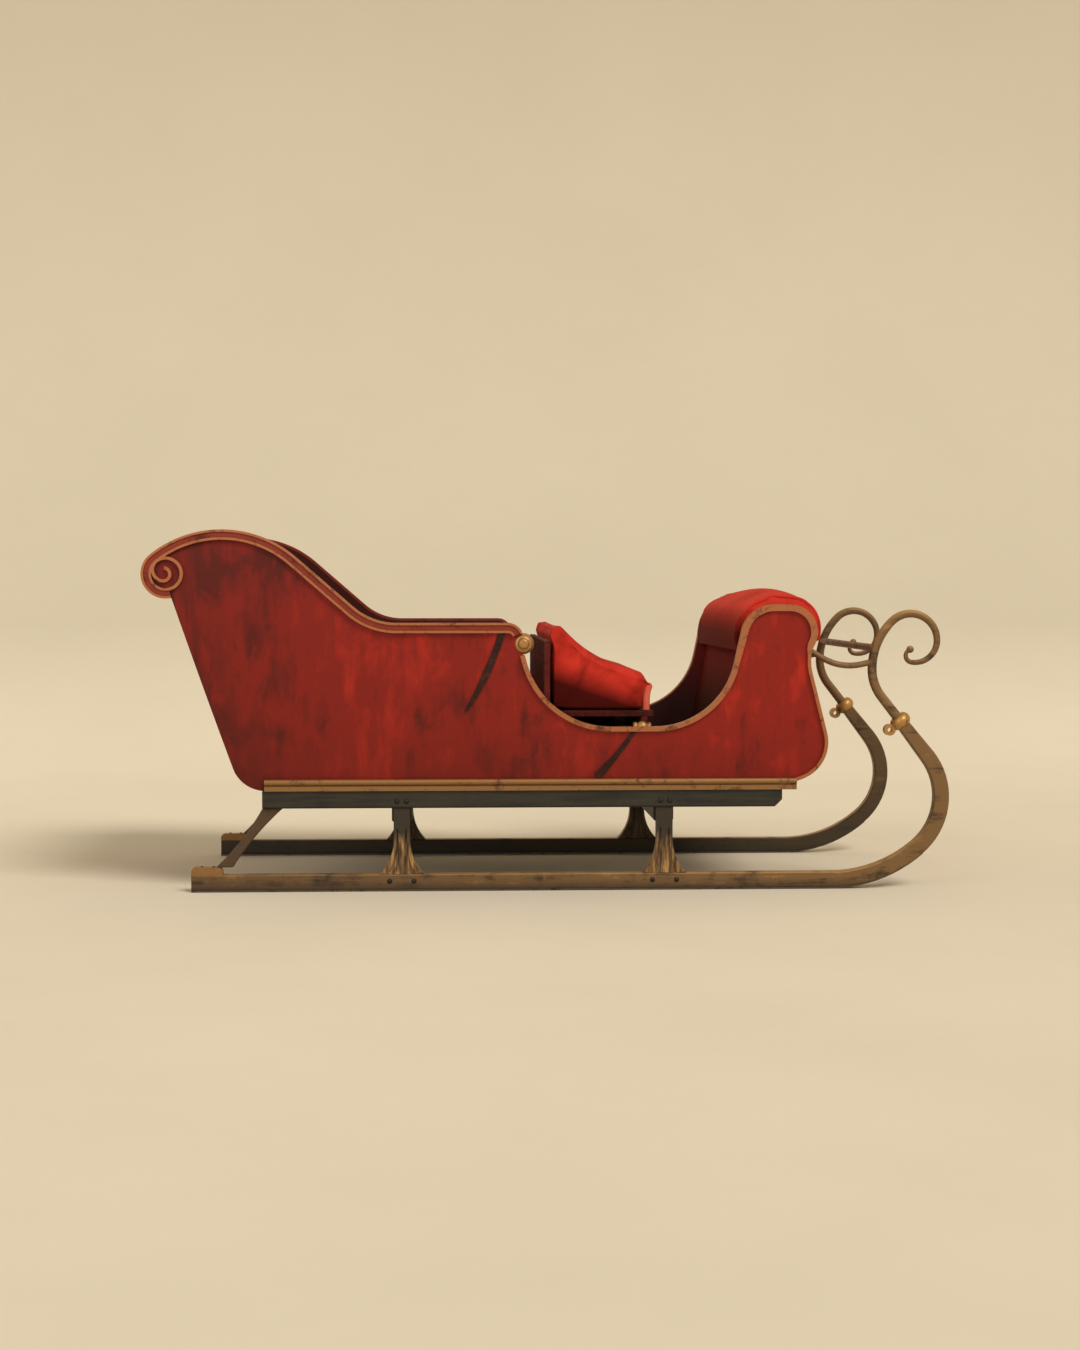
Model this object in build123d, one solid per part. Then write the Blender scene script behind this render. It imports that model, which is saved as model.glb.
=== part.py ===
from build123d import *
import os
from math import acos, atan2, ceil, cos, degrees, radians, sin, sqrt, tan

# Horse drawn sleigh, in millimetres: +X forward, +Y to the left, +Z up.
# The origin is on the ground, in the middle of the length and the width.

# Runners and undercarriage
TRACK = 900.0  # between the middles of the runners
RUNNER_TAIL_X = -1060.0
RUNNER_FLAT_END_X = 844.0  # where the sole starts to lift
RUNNER_DEPTH = 46.0  # of the sole, seen from the side
RUNNER_WIDTH = 40.0
RUNNER_ROUND = 5.0  # rounding along the edges
SHOE_THICKNESS = 6.0
TAIL_CAP_LENGTH = 92.0
TAIL_CAP_HEIGHT = 22.0
KNEE_HEIGHT = 196.0
KNEE_POST_LENGTH = 48.0  # along the runner
KNEE_FOOT_LENGTH = 132.0
KNEE_FLARE_RADIUS = 140.0
KNEE_WIDTH = 40.0
KNEE_GROOVE = 6.0
KNEE_REAR_X = -440.0
KNEE_FRONT_X = 340.0
BEAM_HEIGHT = 46.0
BEAM_LENGTH_X = 60.0
RAIL_HEIGHT = 52.0
RAIL_WIDTH = 56.0
RAIL_SET = 61.0  # of a bed rail's rear end in front of the back's foot
RAIL_FRONT_X = 690.0
RAIL_NOSE_CUT = 22.0
RAIL_CHAMFER = 5.0  # along the edges of rails and beams
STAY_HEAD = 60.0  # depth of a rear stay at its upper end, waist and foot
STAY_WAIST = 34.0
STAY_FOOT = 50.0
STAY_WIDTH = 28.0
STAY_RUN = 142.0  # how far back a rear stay slants

# Body, with heights above its base
BODY_WALL = 18.0
BODY_OVERHANG = 20.0  # of the body's sides beyond the runners' middles, at the base
SWELL = 55.0  # how far a side panel leans out at its widest
SWELL_HEIGHT = 550.0
BACK_FOOT_X = -911.0
BACK_RAKE = 18.9  # degrees from upright
HEEL_RADIUS = 100.0
VOLUTE_HEIGHT = 639.0
VOLUTE_RADIUS = 72.0
VOLUTE_SET = 8.3  # of its eye in front of the raked back's line
CREST_AHEAD = 161.0  # of the volute's eye
CREST_RISE = 129.0  # over the volute's eye
CREST_DROP = 6.0  # degrees past level where the rolled crest turns down
CREST_ROLL_RADIUS = 70.0
CREST_ROLL_TURN = 130.0
RIM_SLOPE = 41.0  # degrees
ARM_HEIGHT = 496.0
ARM_SWEEP_RADIUS = 190.0
ARM_FRONT_X = -128.0
ARM_CURL_RADIUS = 46.0
ARM_CURL_TURN = 68.0
DIP_HEIGHT = 189.0
DIP_START_X = -78.0
DIP_START_HEIGHT = 402.0
DIP_REAR_RADIUS = 259.0
DIP_REAR_TURN = 75.0
DIP_FRONT_X = 310.0
DIP_FRONT_RADIUS = 235.0
DASH_HEIGHT = 550.0
DASH_TURN = 78.0
DASH_REAR_RADIUS = 97.0
DASH_TOP_LENGTH = 48.0
DASH_ROLL_RADIUS = 82.0
DASH_ROLL_TURN = 120.0
DASH_HOLLOW_RADIUS = 60.0
DASH_HOLLOW_TURN = 28.0
DASH_SWEEP_RADIUS = 150.0
DASH_SWEEP_TURN = 17.0
DASH_NECK_SHARE = 0.05  # of the straight part of the dash that is upright, the rest slopes
NOSE_RADIUS = 115.0
NOSE_TURN = 85.0
NOSE_END_HEIGHT = 30.0
SHEET = 14.0  # thickness of the bent dash and back sheets
FLOOR_THICKNESS = 20.0
FLOOR_BOARD = 126.0
FLOOR_GAP = 3.0

# Trim
RAIL_CAP = 8.0  # an arm rail stands this far over the panel's edge
RAIL_LAP = 22.0  # and laps this far down its outer face
RAIL_PROUD = 8.0
BEAD_WIDTH = 7.0  # of the two beads along an arm rail
BEAD_PROUD = 4.0
DASH_BEAD_CAP = 4.0
DASH_BEAD_PROUD = 9.0
DIP_LAP = 10.0  # how far the dash bead laps down the panel along the dip, the wing and the nose
WING_LAP = 16.0
NOSE_LAP = 6.0
SPIRAL_WIDTH = 9.0
SILL_HEIGHT = 34.0
SILL_PROUD = 16.0
SILL_HOLLOW = 5.0
SILL_REAR_SET = 68.0  # of the sill's rear end in front of the back's foot
SILL_FRONT_SET = 15.0  # of its front end behind the round of the nose
KNOB_RADIUS = 27.0
KNOB_PROUD = 14.0
BOSS_RADIUS = 16.0
BOSS_LENGTH = 54.0
BOSS_X = 270.0
STRAP_THICKNESS = 5.0
STRAP_BEND = 900.0
STRAP_WIDTH = 24.0
REAR_STRAP_SET = 62.0  # behind the knob
REAR_STRAP_HEADING = -106.0  # degrees
REAR_STRAP_LENGTH = 262.0
FRONT_STRAP_HEADING = -122.0
FRONT_STRAP_LENGTH = 190.0

# Seats
SEAT_BOARD = 18.0
FRONT_SEAT_X = -20.0  # rear face of the front bench
FRONT_SEAT_DEPTH = 342.0
FRONT_SEAT_BACK_HEIGHT = 486.0
FRONT_BOARD_HEIGHT = 442.0  # of the board that carries the cushion's head
FRONT_PLANK_HEIGHT = 218.0
SLIPPER_ROLL = 24.0  # rounding at the head of the front cushion
SLIPPER_ROLL_TURN = 135.0
SLIPPER_HEAD_LENGTH = 40.0
SLIPPER_HOLLOW = 420.0
SLIPPER_HOLLOW_TURN = 30.0
SLIPPER_LIP = 30.0
SLIPPER_LIP_TURN = 85.0
REAR_SEAT_FRONT_X = -490.0
REAR_PLANK_HEIGHT = 220.0
CUSHION_OVERHANG = 10.0
CUSHION_THICKNESS = 88.0
BACK_CUSHION_THICKNESS = 70.0
BOLSTER_REAR = 8.0  # padding beyond the outline of the dash wings
BOLSTER_TOP = 60.0
BOLSTER_FRONT = 28.0
BOLSTER_CROWN = 14.0
BOLSTER_LIP = 20.0  # padding behind the shelf that carries the bolster
BOLSTER_APRON = 18.0  # and how far it hangs below that shelf
LINING_RAKE = 12.0  # degrees, of the board that lines the dash

# Ironwork at the front
COLLAR_ALONG = 132.0  # up the straight of a runner
COLLAR_RADIUS = 31.0
COLLAR_LENGTH = 34.0
EYE_BORE_RADIUS = 7.0
EYE_RADIUS = 17.0
EYE_WIDTH = 26.0
EYE_REACH = 42.0
CROSS_ROD_RADIUS = 11.0
CROSS_ROD_RISE = 62.0  # over the waist of the necks
DASH_STAY_RADIUS = 9.0
DASH_STAY_SLOPE = 30.0
DASH_STAY_LENGTH = 60.0
DASH_STAY_BEND = 160.0
DASH_STAY_TURN = 42.0
DASH_STAY_END = 44.0
BALL_RADIUS = 11.0

FIT = 0.2  # clearance between pieces that are fitted together
SLIVER = 500.0  # the least volume of a piece, in cubic millimetres

# A runner's lifted end, up to its collar: radius, turn and the depth where the arc ends
BOW_ARCS = ((400.0, 40.0, 46.0), (198.0, 88.0, 44.0))
BOW_TOP_DEPTH = 35.0
# The round neck above the collar: a straight, then arcs with radius, turn and the bar's radius at the end
NECK_STRAIGHT = 93.0
NECK_FOOT_RADIUS = 15.0
NECK_RADIUS = 14.0
NECK_ARCS = (
    (135.0, -38.0, 13.5),
    (200.0, -45.0, 12.5),
    (80.0, -135.0, 10.0),
    (66.0, -100.0, 7.5),
    (20.0, -150.0, 5.5),
)

# Sizes that follow from the ones above
SILL_HALF_WIDTH = TRACK / 2 + BODY_OVERHANG
SOLE_TOP = SHOE_THICKNESS + RUNNER_DEPTH
RAIL_BASE = SOLE_TOP + KNEE_HEIGHT
BODY_BASE = RAIL_BASE + RAIL_HEIGHT
FLOOR_TOP = BODY_BASE + FLOOR_THICKNESS
WIDEST_Z = BODY_BASE + SWELL_HEIGHT
WALL_RADIUS = (SWELL_HEIGHT**2 + SWELL**2) / (2 * SWELL)
WALL_AXIS_Y = SILL_HALF_WIDTH + SWELL - WALL_RADIUS
WALL_TOP = BODY_BASE + VOLUTE_HEIGHT + 2 * CREST_RISE
SPAN = TRACK * 4  # longer than the sleigh, for cutting tools

os.makedirs("parts", exist_ok=True)


class Route:
    """A path in the X-Z plane of straight runs and tangent arcs, with its parallel curves."""

    def __init__(self, x, z, heading):
        self.x, self.z, self.heading = x, z, heading
        self.runs = []

    def state(self):
        return (self.x, self.z, self.heading)

    def line(self, length):
        start = self.state()
        dx = length * cos(radians(self.heading))
        dz = length * sin(radians(self.heading))
        middle = (self.x + dx / 2, self.z + dz / 2, self.heading)
        self.x, self.z = self.x + dx, self.z + dz
        self.runs.append(("line", start, middle, self.state()))
        return self

    def line_to_x(self, x):
        return self.line((x - self.x) / cos(radians(self.heading)))

    def line_to_z(self, z):
        return self.line((z - self.z) / sin(radians(self.heading)))

    def arc(self, radius, turn):
        """Turn is in degrees, positive to the left of travel."""
        start = self.state()
        reach = radius if turn > 0 else -radius
        centre_x = self.x - reach * sin(radians(self.heading))
        centre_z = self.z + reach * cos(radians(self.heading))
        places = []
        for share in (0.5, 1.0):
            heading = start[2] + share * turn
            x = centre_x + reach * sin(radians(heading))
            z = centre_z - reach * cos(radians(heading))
            places.append((x, z, heading))
        self.x, self.z, self.heading = places[1]
        self.runs.append(("arc", start, places[0], places[1]))
        return self

    def side(self, offsets, first=0, last=None):
        """Edges of the curve offset to the left, by one number or by a list with one for each run's end."""
        runs = self.runs[first:last]
        if not isinstance(offsets, list):
            offsets = [offsets] * (len(runs) + 1)
        edges = []
        for i, (kind, start, middle, end) in enumerate(runs):
            a = beside(start, offsets[i])
            m = beside(middle, (offsets[i] + offsets[i + 1]) / 2)
            b = beside(end, offsets[i + 1])
            edges.append(Line(a, b) if kind == "line" else ThreePointArc(a, m, b))
        return edges

    def band(self, left, right, first=0, last=None):
        """The face between two such curves."""
        outer = self.side(left, first, last)
        inner = self.side(right, first, last)
        ends = [Line(outer[0] @ 0, inner[0] @ 0), Line(outer[-1] @ 1, inner[-1] @ 1)]
        return make_face(outer + inner + ends)

    def ribbon(self, halves, first=0, last=None):
        """The face that reaches half a width to both sides."""
        return self.band(halves, [-half for half in halves], first, last)


def beside(state, offset):
    """The point that lies offset to the left of a place on a route."""
    x, z, heading = state
    return (x - offset * sin(radians(heading)), 0, z + offset * cos(radians(heading)))


def arc_rise(radius, heading, turn):
    """How far an arc that starts with a heading climbs."""
    rise = radius * (cos(radians(heading)) - cos(radians(heading + turn)))
    return rise if turn > 0 else -rise


def outline(*points):
    """A face in the X-Z plane with straight sides."""
    return make_face(Polyline(*((x, 0, z) for x, z in points), close=True).edges())


def across(face, low_y, high_y):
    """A face in the X-Z plane as a solid from low_y to high_y."""
    return extrude(face.moved(Location((0, low_y, 0))), amount=high_y - low_y, dir=(0, 1, 0))


def brick(low_x, high_x, low_y, high_y, low_z, high_z):
    middle = Pos((low_x + high_x) / 2, (low_y + high_y) / 2, (low_z + high_z) / 2)
    return middle * Box(high_x - low_x, high_y - low_y, high_z - low_z)


def wall_y(z, reach=0.0):
    """Where the left wall's outer face, or a face reach outside it, lies at a height."""
    return WALL_AXIS_Y + sqrt((WALL_RADIUS + reach) ** 2 - (z - WIDEST_Z) ** 2)


def wall_arc(reach, way=1):
    """The swelled line of that face from the ground to over the crest, on the left or mirrored."""
    heights = (0.0, WALL_TOP / 2, WALL_TOP)
    return ThreePointArc(*((0, way * wall_y(z, reach), z) for z in heights))


def along(edges, low_x=-SPAN / 2, high_x=SPAN / 2):
    """Edges in the Y-Z plane as a solid along the sleigh."""
    return extrude(make_face(edges).moved(Location((low_x, 0, 0))), amount=high_x - low_x, dir=(1, 0, 0))


def between_curves(a, b):
    """The solid between two lines of the wall."""
    return along([a, b, Line(a @ 0, b @ 0), Line(a @ 1, b @ 1)])


def wall(inner, outer):
    """A layer of the left wall between two depths from its outer face."""
    return between_curves(wall_arc(inner), wall_arc(outer))


def in_wall(face, inner, outer):
    """What a face in the X-Z plane cuts out of such a layer."""
    return across(face, 0, SPAN) & wall(inner, outer)


def between_walls(solid):
    """The part of a solid that fits between the two side panels."""
    return solid & between_curves(wall_arc(-BODY_WALL - FIT), wall_arc(-BODY_WALL - FIT, -1))


def full_width(face):
    """A face in the X-Z plane as a piece that reaches from one side panel to the other."""
    return between_walls(across(face, -SILL_HALF_WIDTH - SWELL, SILL_HALF_WIDTH + SWELL))


def cross_board(low_x, high_x, low_z, high_z):
    return full_width(outline((low_x, low_z), (high_x, low_z), (high_x, high_z), (low_x, high_z)))


def save(name, *pieces):
    """Writes one node, without the slivers that cuts leave."""
    solids = [solid for piece in pieces for solid in piece.solids() if solid.volume > SLIVER]
    export_step(solids[0] if len(solids) == 1 else Compound(solids), f"parts/{name}.step")


def save_pair(name, *pieces):
    save(f"{name}_left", *pieces)
    save(f"{name}_right", *(mirror(piece, about=Plane.XZ) for piece in pieces))


# Routes of the body, seen from its side

volute_z = BODY_BASE + VOLUTE_HEIGHT
arm_z = BODY_BASE + ARM_HEIGHT
dip_z = BODY_BASE + DIP_HEIGHT
dash_z = BODY_BASE + DASH_HEIGHT

# The crest is an arc that touches the volute's circle and is level at its top.
crest_radius = (CREST_AHEAD**2 + CREST_RISE**2 - VOLUTE_RADIUS**2) / (2 * (CREST_RISE - VOLUTE_RADIUS))
crest_start = degrees(atan2(crest_radius - CREST_RISE, -CREST_AHEAD))

# The raked back runs from the heel to the volute's underside.
back_dx = -sin(radians(BACK_RAKE))
back_dz = cos(radians(BACK_RAKE))
volute_x = BACK_FOOT_X + (VOLUTE_SET + VOLUTE_HEIGHT * back_dx) / back_dz
eye_along = (volute_x - BACK_FOOT_X) * back_dx + VOLUTE_HEIGHT * back_dz
back_length = eye_along - sqrt(VOLUTE_RADIUS**2 - VOLUTE_SET**2)
root_x = BACK_FOOT_X + back_length * back_dx
root_z = BODY_BASE + back_length * back_dz
root_angle = degrees(atan2(root_z - volute_z, root_x - volute_x))

heel_cut = HEEL_RADIUS * tan(radians((90 - BACK_RAKE) / 2))
back = Route(BACK_FOOT_X + 2 * heel_cut, BODY_BASE, 180)
back.line(heel_cut)
back.arc(HEEL_RADIUS, BACK_RAKE - 90)
slope_run = len(back.runs)
back.line(back_length - heel_cut)


def volute_and_crest(level):
    """The route over the volute and the crest, until the crest points level degrees down."""
    route = Route(root_x, root_z, root_angle - 90)
    route.arc(VOLUTE_RADIUS, crest_start - 360 - root_angle)
    route.arc(crest_radius, 90 - crest_start - level)
    return route


rim = volute_and_crest(RIM_SLOPE)
rim.line_to_z(arm_z + arc_rise(ARM_SWEEP_RADIUS, 0, RIM_SLOPE))
rim.arc(ARM_SWEEP_RADIUS, RIM_SLOPE)
rim.line_to_x(ARM_FRONT_X)
rim.arc(ARM_CURL_RADIUS, -ARM_CURL_TURN)

front = Route(DIP_START_X, BODY_BASE + DIP_START_HEIGHT, -DIP_REAR_TURN)
front.line_to_z(dip_z + arc_rise(DIP_REAR_RADIUS, 0, DIP_REAR_TURN))
front.arc(DIP_REAR_RADIUS, DIP_REAR_TURN)
front.line_to_x(DIP_FRONT_X)
front.arc(DIP_FRONT_RADIUS, DASH_TURN)
wing_start = len(front.runs)
front.line_to_z(dash_z - arc_rise(DASH_REAR_RADIUS, 0, DASH_TURN))
front.arc(DASH_REAR_RADIUS, -DASH_TURN)
front.line(DASH_TOP_LENGTH)
front.arc(DASH_ROLL_RADIUS, -DASH_ROLL_TURN)
wing_end = len(front.runs)
front.arc(DASH_HOLLOW_RADIUS, DASH_HOLLOW_TURN)
neck_heading = front.heading
slope_heading = neck_heading + DASH_SWEEP_TURN
straight_fall = BODY_BASE + NOSE_END_HEIGHT - front.z
straight_fall -= arc_rise(DASH_SWEEP_RADIUS, neck_heading, DASH_SWEEP_TURN)
straight_fall -= arc_rise(NOSE_RADIUS, slope_heading, -NOSE_TURN)
front.line(DASH_NECK_SHARE * straight_fall / sin(radians(neck_heading)))
front.arc(DASH_SWEEP_RADIUS, DASH_SWEEP_TURN)
front.line((1 - DASH_NECK_SHARE) * straight_fall / sin(radians(slope_heading)))
front.arc(NOSE_RADIUS, -NOSE_TURN)
front.line_to_z(BODY_BASE)

# Side panels and their trim

rim_edges = rim.side(-RAIL_CAP)
front_edges = front.side(-DASH_BEAD_CAP)
back_edges = back.side(0)
closing_edges = [
    Line(rim_edges[-1] @ 1, front_edges[0] @ 0),
    Line(back_edges[0] @ 0, front_edges[-1] @ 1),
    Line(back_edges[-1] @ 1, rim_edges[0] @ 0),
]
panel_face = make_face(rim_edges + front_edges + back_edges + closing_edges)

knob_x = (rim.x + DIP_START_X) / 2
knob_z = (rim.z + BODY_BASE + DIP_START_HEIGHT) / 2


def turned(*points):
    """Half of a turned piece along X: stations and radii, rounded between every second pair, then mirrored."""
    edges = [Line((0, 0), (points[-1][0], 0)), Line((points[-1][0], 0), points[-1])]
    for a, b, c in zip(points[0::2], points[1::2], points[2::2]):
        edges.append(ThreePointArc(a, b, c))
    edges.append(Line(points[0], (0, 0)))
    half = revolve(make_face(edges), Axis.X)
    return half + mirror(half, about=Plane.YZ)


knob_half = BODY_WALL / 2 + KNOB_PROUD
knob = turned(
    (0, KNOB_RADIUS + RAIL_PROUD / 2),
    (knob_half * 0.32, KNOB_RADIUS),
    (knob_half * 0.55, KNOB_RADIUS * 0.86),
    (knob_half * 0.68, KNOB_RADIUS * 0.62),
    (knob_half * 0.82, KNOB_RADIUS * 0.55),
    (knob_half * 0.95, KNOB_RADIUS * 0.44),
    (knob_half, KNOB_RADIUS * 0.2),
)
knob = Pos(knob_x, wall_y(knob_z) - BODY_WALL / 2, knob_z) * Rot(0, 0, 90) * knob
boss = turned(
    (0, BOSS_RADIUS),
    (BOSS_LENGTH * 0.14, BOSS_RADIUS * 0.9),
    (BOSS_LENGTH * 0.26, BOSS_RADIUS * 0.62),
    (BOSS_LENGTH * 0.38, BOSS_RADIUS * 0.84),
    (BOSS_LENGTH * 0.5, BOSS_RADIUS * 0.55),
)
boss = Pos(BOSS_X, wall_y(dip_z) - BODY_WALL / 2, dip_z) * boss & wall(-BODY_WALL, BOSS_RADIUS)
panel = in_wall(panel_face, -BODY_WALL, 0) - knob - boss
save_pair("side_panel", panel)
save_pair("arm_knob", knob)
save_pair("rim_boss", boss)

rail_depth = RAIL_CAP + RAIL_LAP
arm_rail = in_wall(rim.band(0, -rail_depth), -BODY_WALL, RAIL_PROUD) - panel - knob
save_pair("arm_rail", arm_rail)

spiral = Route(*beside(rim.runs[0][1], BEAD_WIDTH / 2 - rail_depth)[::2], rim.runs[0][1][2] + 180)
spiral_radius = VOLUTE_RADIUS - rail_depth + BEAD_WIDTH / 2
for share, turn in ((1.0, 190), (0.72, 150), (0.42, 180)):
    spiral.arc(share * spiral_radius, turn)
arm_beads = [
    in_wall(rim.band(0, -BEAD_WIDTH), RAIL_PROUD, RAIL_PROUD + BEAD_PROUD) - knob,
    in_wall(rim.band(BEAD_WIDTH - rail_depth, -rail_depth), RAIL_PROUD, RAIL_PROUD + BEAD_PROUD) - knob,
    in_wall(spiral.band(SPIRAL_WIDTH / 2, -SPIRAL_WIDTH / 2), 0, RAIL_PROUD + BEAD_PROUD) - arm_rail,
]
arm_beads[1] = arm_beads[1] + arm_beads.pop()
save_pair("arm_beads", *arm_beads)

bead_laps = [DIP_LAP] * (wing_start + 1) + [WING_LAP] * (wing_end - wing_start)
bead_laps += [NOSE_LAP] * (len(front.runs) - wing_end)
bead_face = front.band(0, [-DASH_BEAD_CAP - lap for lap in bead_laps])
dash_bead = in_wall(bead_face, -BODY_WALL, DASH_BEAD_PROUD) - panel - knob - boss
save_pair("dash_bead", dash_bead)

sill_y = SILL_HALF_WIDTH + SILL_PROUD
sill_top_z = BODY_BASE + SILL_HEIGHT
sill_mid_z = BODY_BASE + SILL_HEIGHT / 2
sill_edges = [
    Line((0, SILL_HALF_WIDTH, BODY_BASE), (0, sill_y, BODY_BASE)),
    Line((0, sill_y, BODY_BASE), (0, sill_y, sill_mid_z - SILL_HOLLOW)),
    Line((0, sill_y, sill_mid_z - SILL_HOLLOW), (0, sill_y - SILL_HOLLOW, sill_mid_z)),
    ThreePointArc(
        (0, sill_y - SILL_HOLLOW, sill_mid_z),
        (0, sill_y + SILL_HOLLOW, (sill_mid_z + sill_top_z) / 2),
        (0, sill_y - SILL_HOLLOW, sill_top_z),
    ),
    Line((0, sill_y - SILL_HOLLOW, sill_top_z), (0, SILL_HALF_WIDTH, sill_top_z)),
    Line((0, SILL_HALF_WIDTH, sill_top_z), (0, SILL_HALF_WIDTH, BODY_BASE)),
]
sill_front_x = front.runs[-2][3][0] - SILL_FRONT_SET
sill = along(sill_edges, BACK_FOOT_X + SILL_REAR_SET, sill_front_x) & wall(0, SILL_HEIGHT)
sill = sill - dash_bead
save_pair("sill_moulding", sill)

# Dark iron straps on the sides: start x and z, heading, length, and widths at the head, the middle and the foot
rear_strap_z = arm_z - rail_depth + BEAD_WIDTH
STRAPS = (
    (knob_x - REAR_STRAP_SET, rear_strap_z, REAR_STRAP_HEADING, REAR_STRAP_LENGTH, (0.8, 0.9, 0.4)),
    (BOSS_X - BOSS_RADIUS, dip_z, FRONT_STRAP_HEADING, FRONT_STRAP_LENGTH, (0.5, 0.6, 1.0)),
)
straps = []
for x, z, heading, length, shares in STRAPS:
    strap = Route(x, z, heading)
    turn = degrees(length / 2 / STRAP_BEND)
    strap.arc(STRAP_BEND, -turn).arc(STRAP_BEND, -turn)
    strap_face = strap.ribbon([share * STRAP_WIDTH / 2 for share in shares])
    straps.append(in_wall(strap_face, 0, STRAP_THICKNESS) - arm_rail - arm_beads[1] - dash_bead - boss - sill)
save_pair("side_straps", *straps)

# Sheets and boards between the side panels

back_panel = full_width(back.band(0, -SHEET))
save("back_panel", back_panel)


def before_back(piece):
    """Cuts a piece off along the inner face of the raked back."""
    return piece - across(back.band(SPAN, -SHEET, slope_run), -SPAN, SPAN)


crest = volute_and_crest(CREST_DROP)
crest.arc(CREST_ROLL_RADIUS, -CREST_ROLL_TURN)
crest_return = (crest.x - root_x) / -cos(radians(crest.heading))
return_run = len(crest.runs)
crest.line(crest_return)
crest_bend = full_width(crest.band(-RAIL_CAP, -RAIL_CAP - SHEET, 0, return_run))
crest_close = full_width(crest.band(-RAIL_CAP, -RAIL_CAP - SHEET, return_run))
crest_roll = crest_bend - back_panel + before_back(crest_close)
save("crest_roll", crest_roll)

neck_x, neck_z, _ = front.runs[wing_end][1]
shelf_x = front.runs[wing_start][3][0] + DASH_BEAD_CAP + BOLSTER_LIP
dash_sheet = across(front.band(-DASH_BEAD_CAP, -DASH_BEAD_CAP - SHEET, wing_end), -SPAN, SPAN)
shelf = brick(shelf_x, neck_x - DASH_BEAD_CAP, -SPAN, SPAN, neck_z - SHEET, neck_z)
dash_panel = between_walls((dash_sheet & brick(-SPAN, SPAN, -SPAN, SPAN, 0, neck_z)) + shelf)
save("dash_panel", dash_panel)

# The board that lines the dash stands on the floor and meets the shelf from below.
lining = Route(shelf_x, neck_z - SHEET, -90 - LINING_RAKE).line_to_z(FLOOR_TOP)
lining_foot = lining.x + SHEET / cos(radians(LINING_RAKE))
lining_face = outline(
    (shelf_x, neck_z - SHEET),
    (shelf_x + SHEET / cos(radians(LINING_RAKE)), neck_z - SHEET),
    (lining_foot, FLOOR_TOP),
    (lining.x, FLOOR_TOP),
)
dash_lining = full_width(lining_face)
save("dash_lining", dash_lining)

# The floor's first board is bevelled to the slope of the dash sheet.
floor_rear_x = BACK_FOOT_X + 2 * heel_cut + FIT
bevel_x, _, bevel_z = beside(front.state(), -DASH_BEAD_CAP - SHEET - FIT)
bevel = Route(bevel_x, bevel_z, front.heading).line(-SPAN).line(2 * SPAN)
behind_bevel = across(bevel.band(0, -SPAN, 1), -SPAN, SPAN)
floor_front_x = bevel_x + (FLOOR_TOP - bevel_z) / tan(radians(front.heading))
floor_count = ceil((floor_front_x - floor_rear_x) / (FLOOR_BOARD + FLOOR_GAP))
board_pitch = (floor_front_x - floor_rear_x + FLOOR_GAP) / floor_count
boards = []
for i in range(floor_count):
    low_x = floor_rear_x + i * board_pitch
    board = cross_board(low_x, low_x + board_pitch - FLOOR_GAP, BODY_BASE, FLOOR_TOP)
    boards.append(board & behind_bevel)
save("floor_boards", *boards)

# Front bench

front_board_x = FRONT_SEAT_X + SEAT_BOARD
front_edge_x = FRONT_SEAT_X + FRONT_SEAT_DEPTH
front_plank_z = BODY_BASE + FRONT_PLANK_HEIGHT
front_back_z = BODY_BASE + FRONT_SEAT_BACK_HEIGHT
front_board_z = BODY_BASE + FRONT_BOARD_HEIGHT
riser_x = front_edge_x - 3 * SEAT_BOARD
save("front_seat_back", cross_board(FRONT_SEAT_X, front_board_x, FLOOR_TOP, front_board_z))
save("front_seat_riser", cross_board(riser_x, riser_x + SEAT_BOARD, FLOOR_TOP, front_plank_z))
plank_x = front_edge_x - SEAT_BOARD
save("front_seat_plank", cross_board(front_board_x, plank_x, front_plank_z, front_plank_z + SEAT_BOARD))

slipper_base = front_plank_z + SEAT_BOARD
slipper = Route(FRONT_SEAT_X, slipper_base, 90)
slipper.line_to_z(front_back_z - SLIPPER_ROLL / 2)
slipper.arc(SLIPPER_ROLL, -SLIPPER_ROLL_TURN)
slipper.line(SLIPPER_HEAD_LENGTH)
slipper.arc(SLIPPER_HOLLOW, SLIPPER_HOLLOW_TURN)
slipper.line_to_x(front_edge_x - SLIPPER_LIP)
slipper.arc(SLIPPER_LIP, -SLIPPER_LIP_TURN)
slipper.line_to_z(slipper_base)
slipper_edges = slipper.side(0)
slipper_face = make_face(slipper_edges + [Line(slipper_edges[-1] @ 1, slipper_edges[0] @ 0)])
over_board = brick(FRONT_SEAT_X, front_board_x, -SPAN, SPAN, slipper_base, front_board_z)
save("front_seat_cushion", full_width(slipper_face) - over_board)

# Rear bench

rear_plank_z = BODY_BASE + REAR_PLANK_HEIGHT
rear_cushion_z = rear_plank_z + SEAT_BOARD
rear_back_z = rear_cushion_z + CUSHION_THICKNESS
cushion_x = REAR_SEAT_FRONT_X + CUSHION_OVERHANG
save("rear_seat_riser", cross_board(REAR_SEAT_FRONT_X - SEAT_BOARD, REAR_SEAT_FRONT_X, FLOOR_TOP, rear_plank_z))
save("rear_seat_plank", before_back(cross_board(root_x, REAR_SEAT_FRONT_X, rear_plank_z, rear_cushion_z)))
save("rear_seat_cushion", before_back(cross_board(root_x, cushion_x, rear_cushion_z, rear_back_z)))

back_cushion = full_width(back.band(-SHEET, -SHEET - BACK_CUSHION_THICKNESS, slope_run))
under_crest = across(crest.band(-RAIL_CAP, -SPAN, return_run), -SPAN, SPAN)
back_cushion = (back_cushion & brick(-SPAN, SPAN, -SPAN, SPAN, rear_back_z, SPAN)) - under_crest
save("rear_back_cushion", back_cushion)

# Bolster along the top of the dash, crowned in the middle

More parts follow.
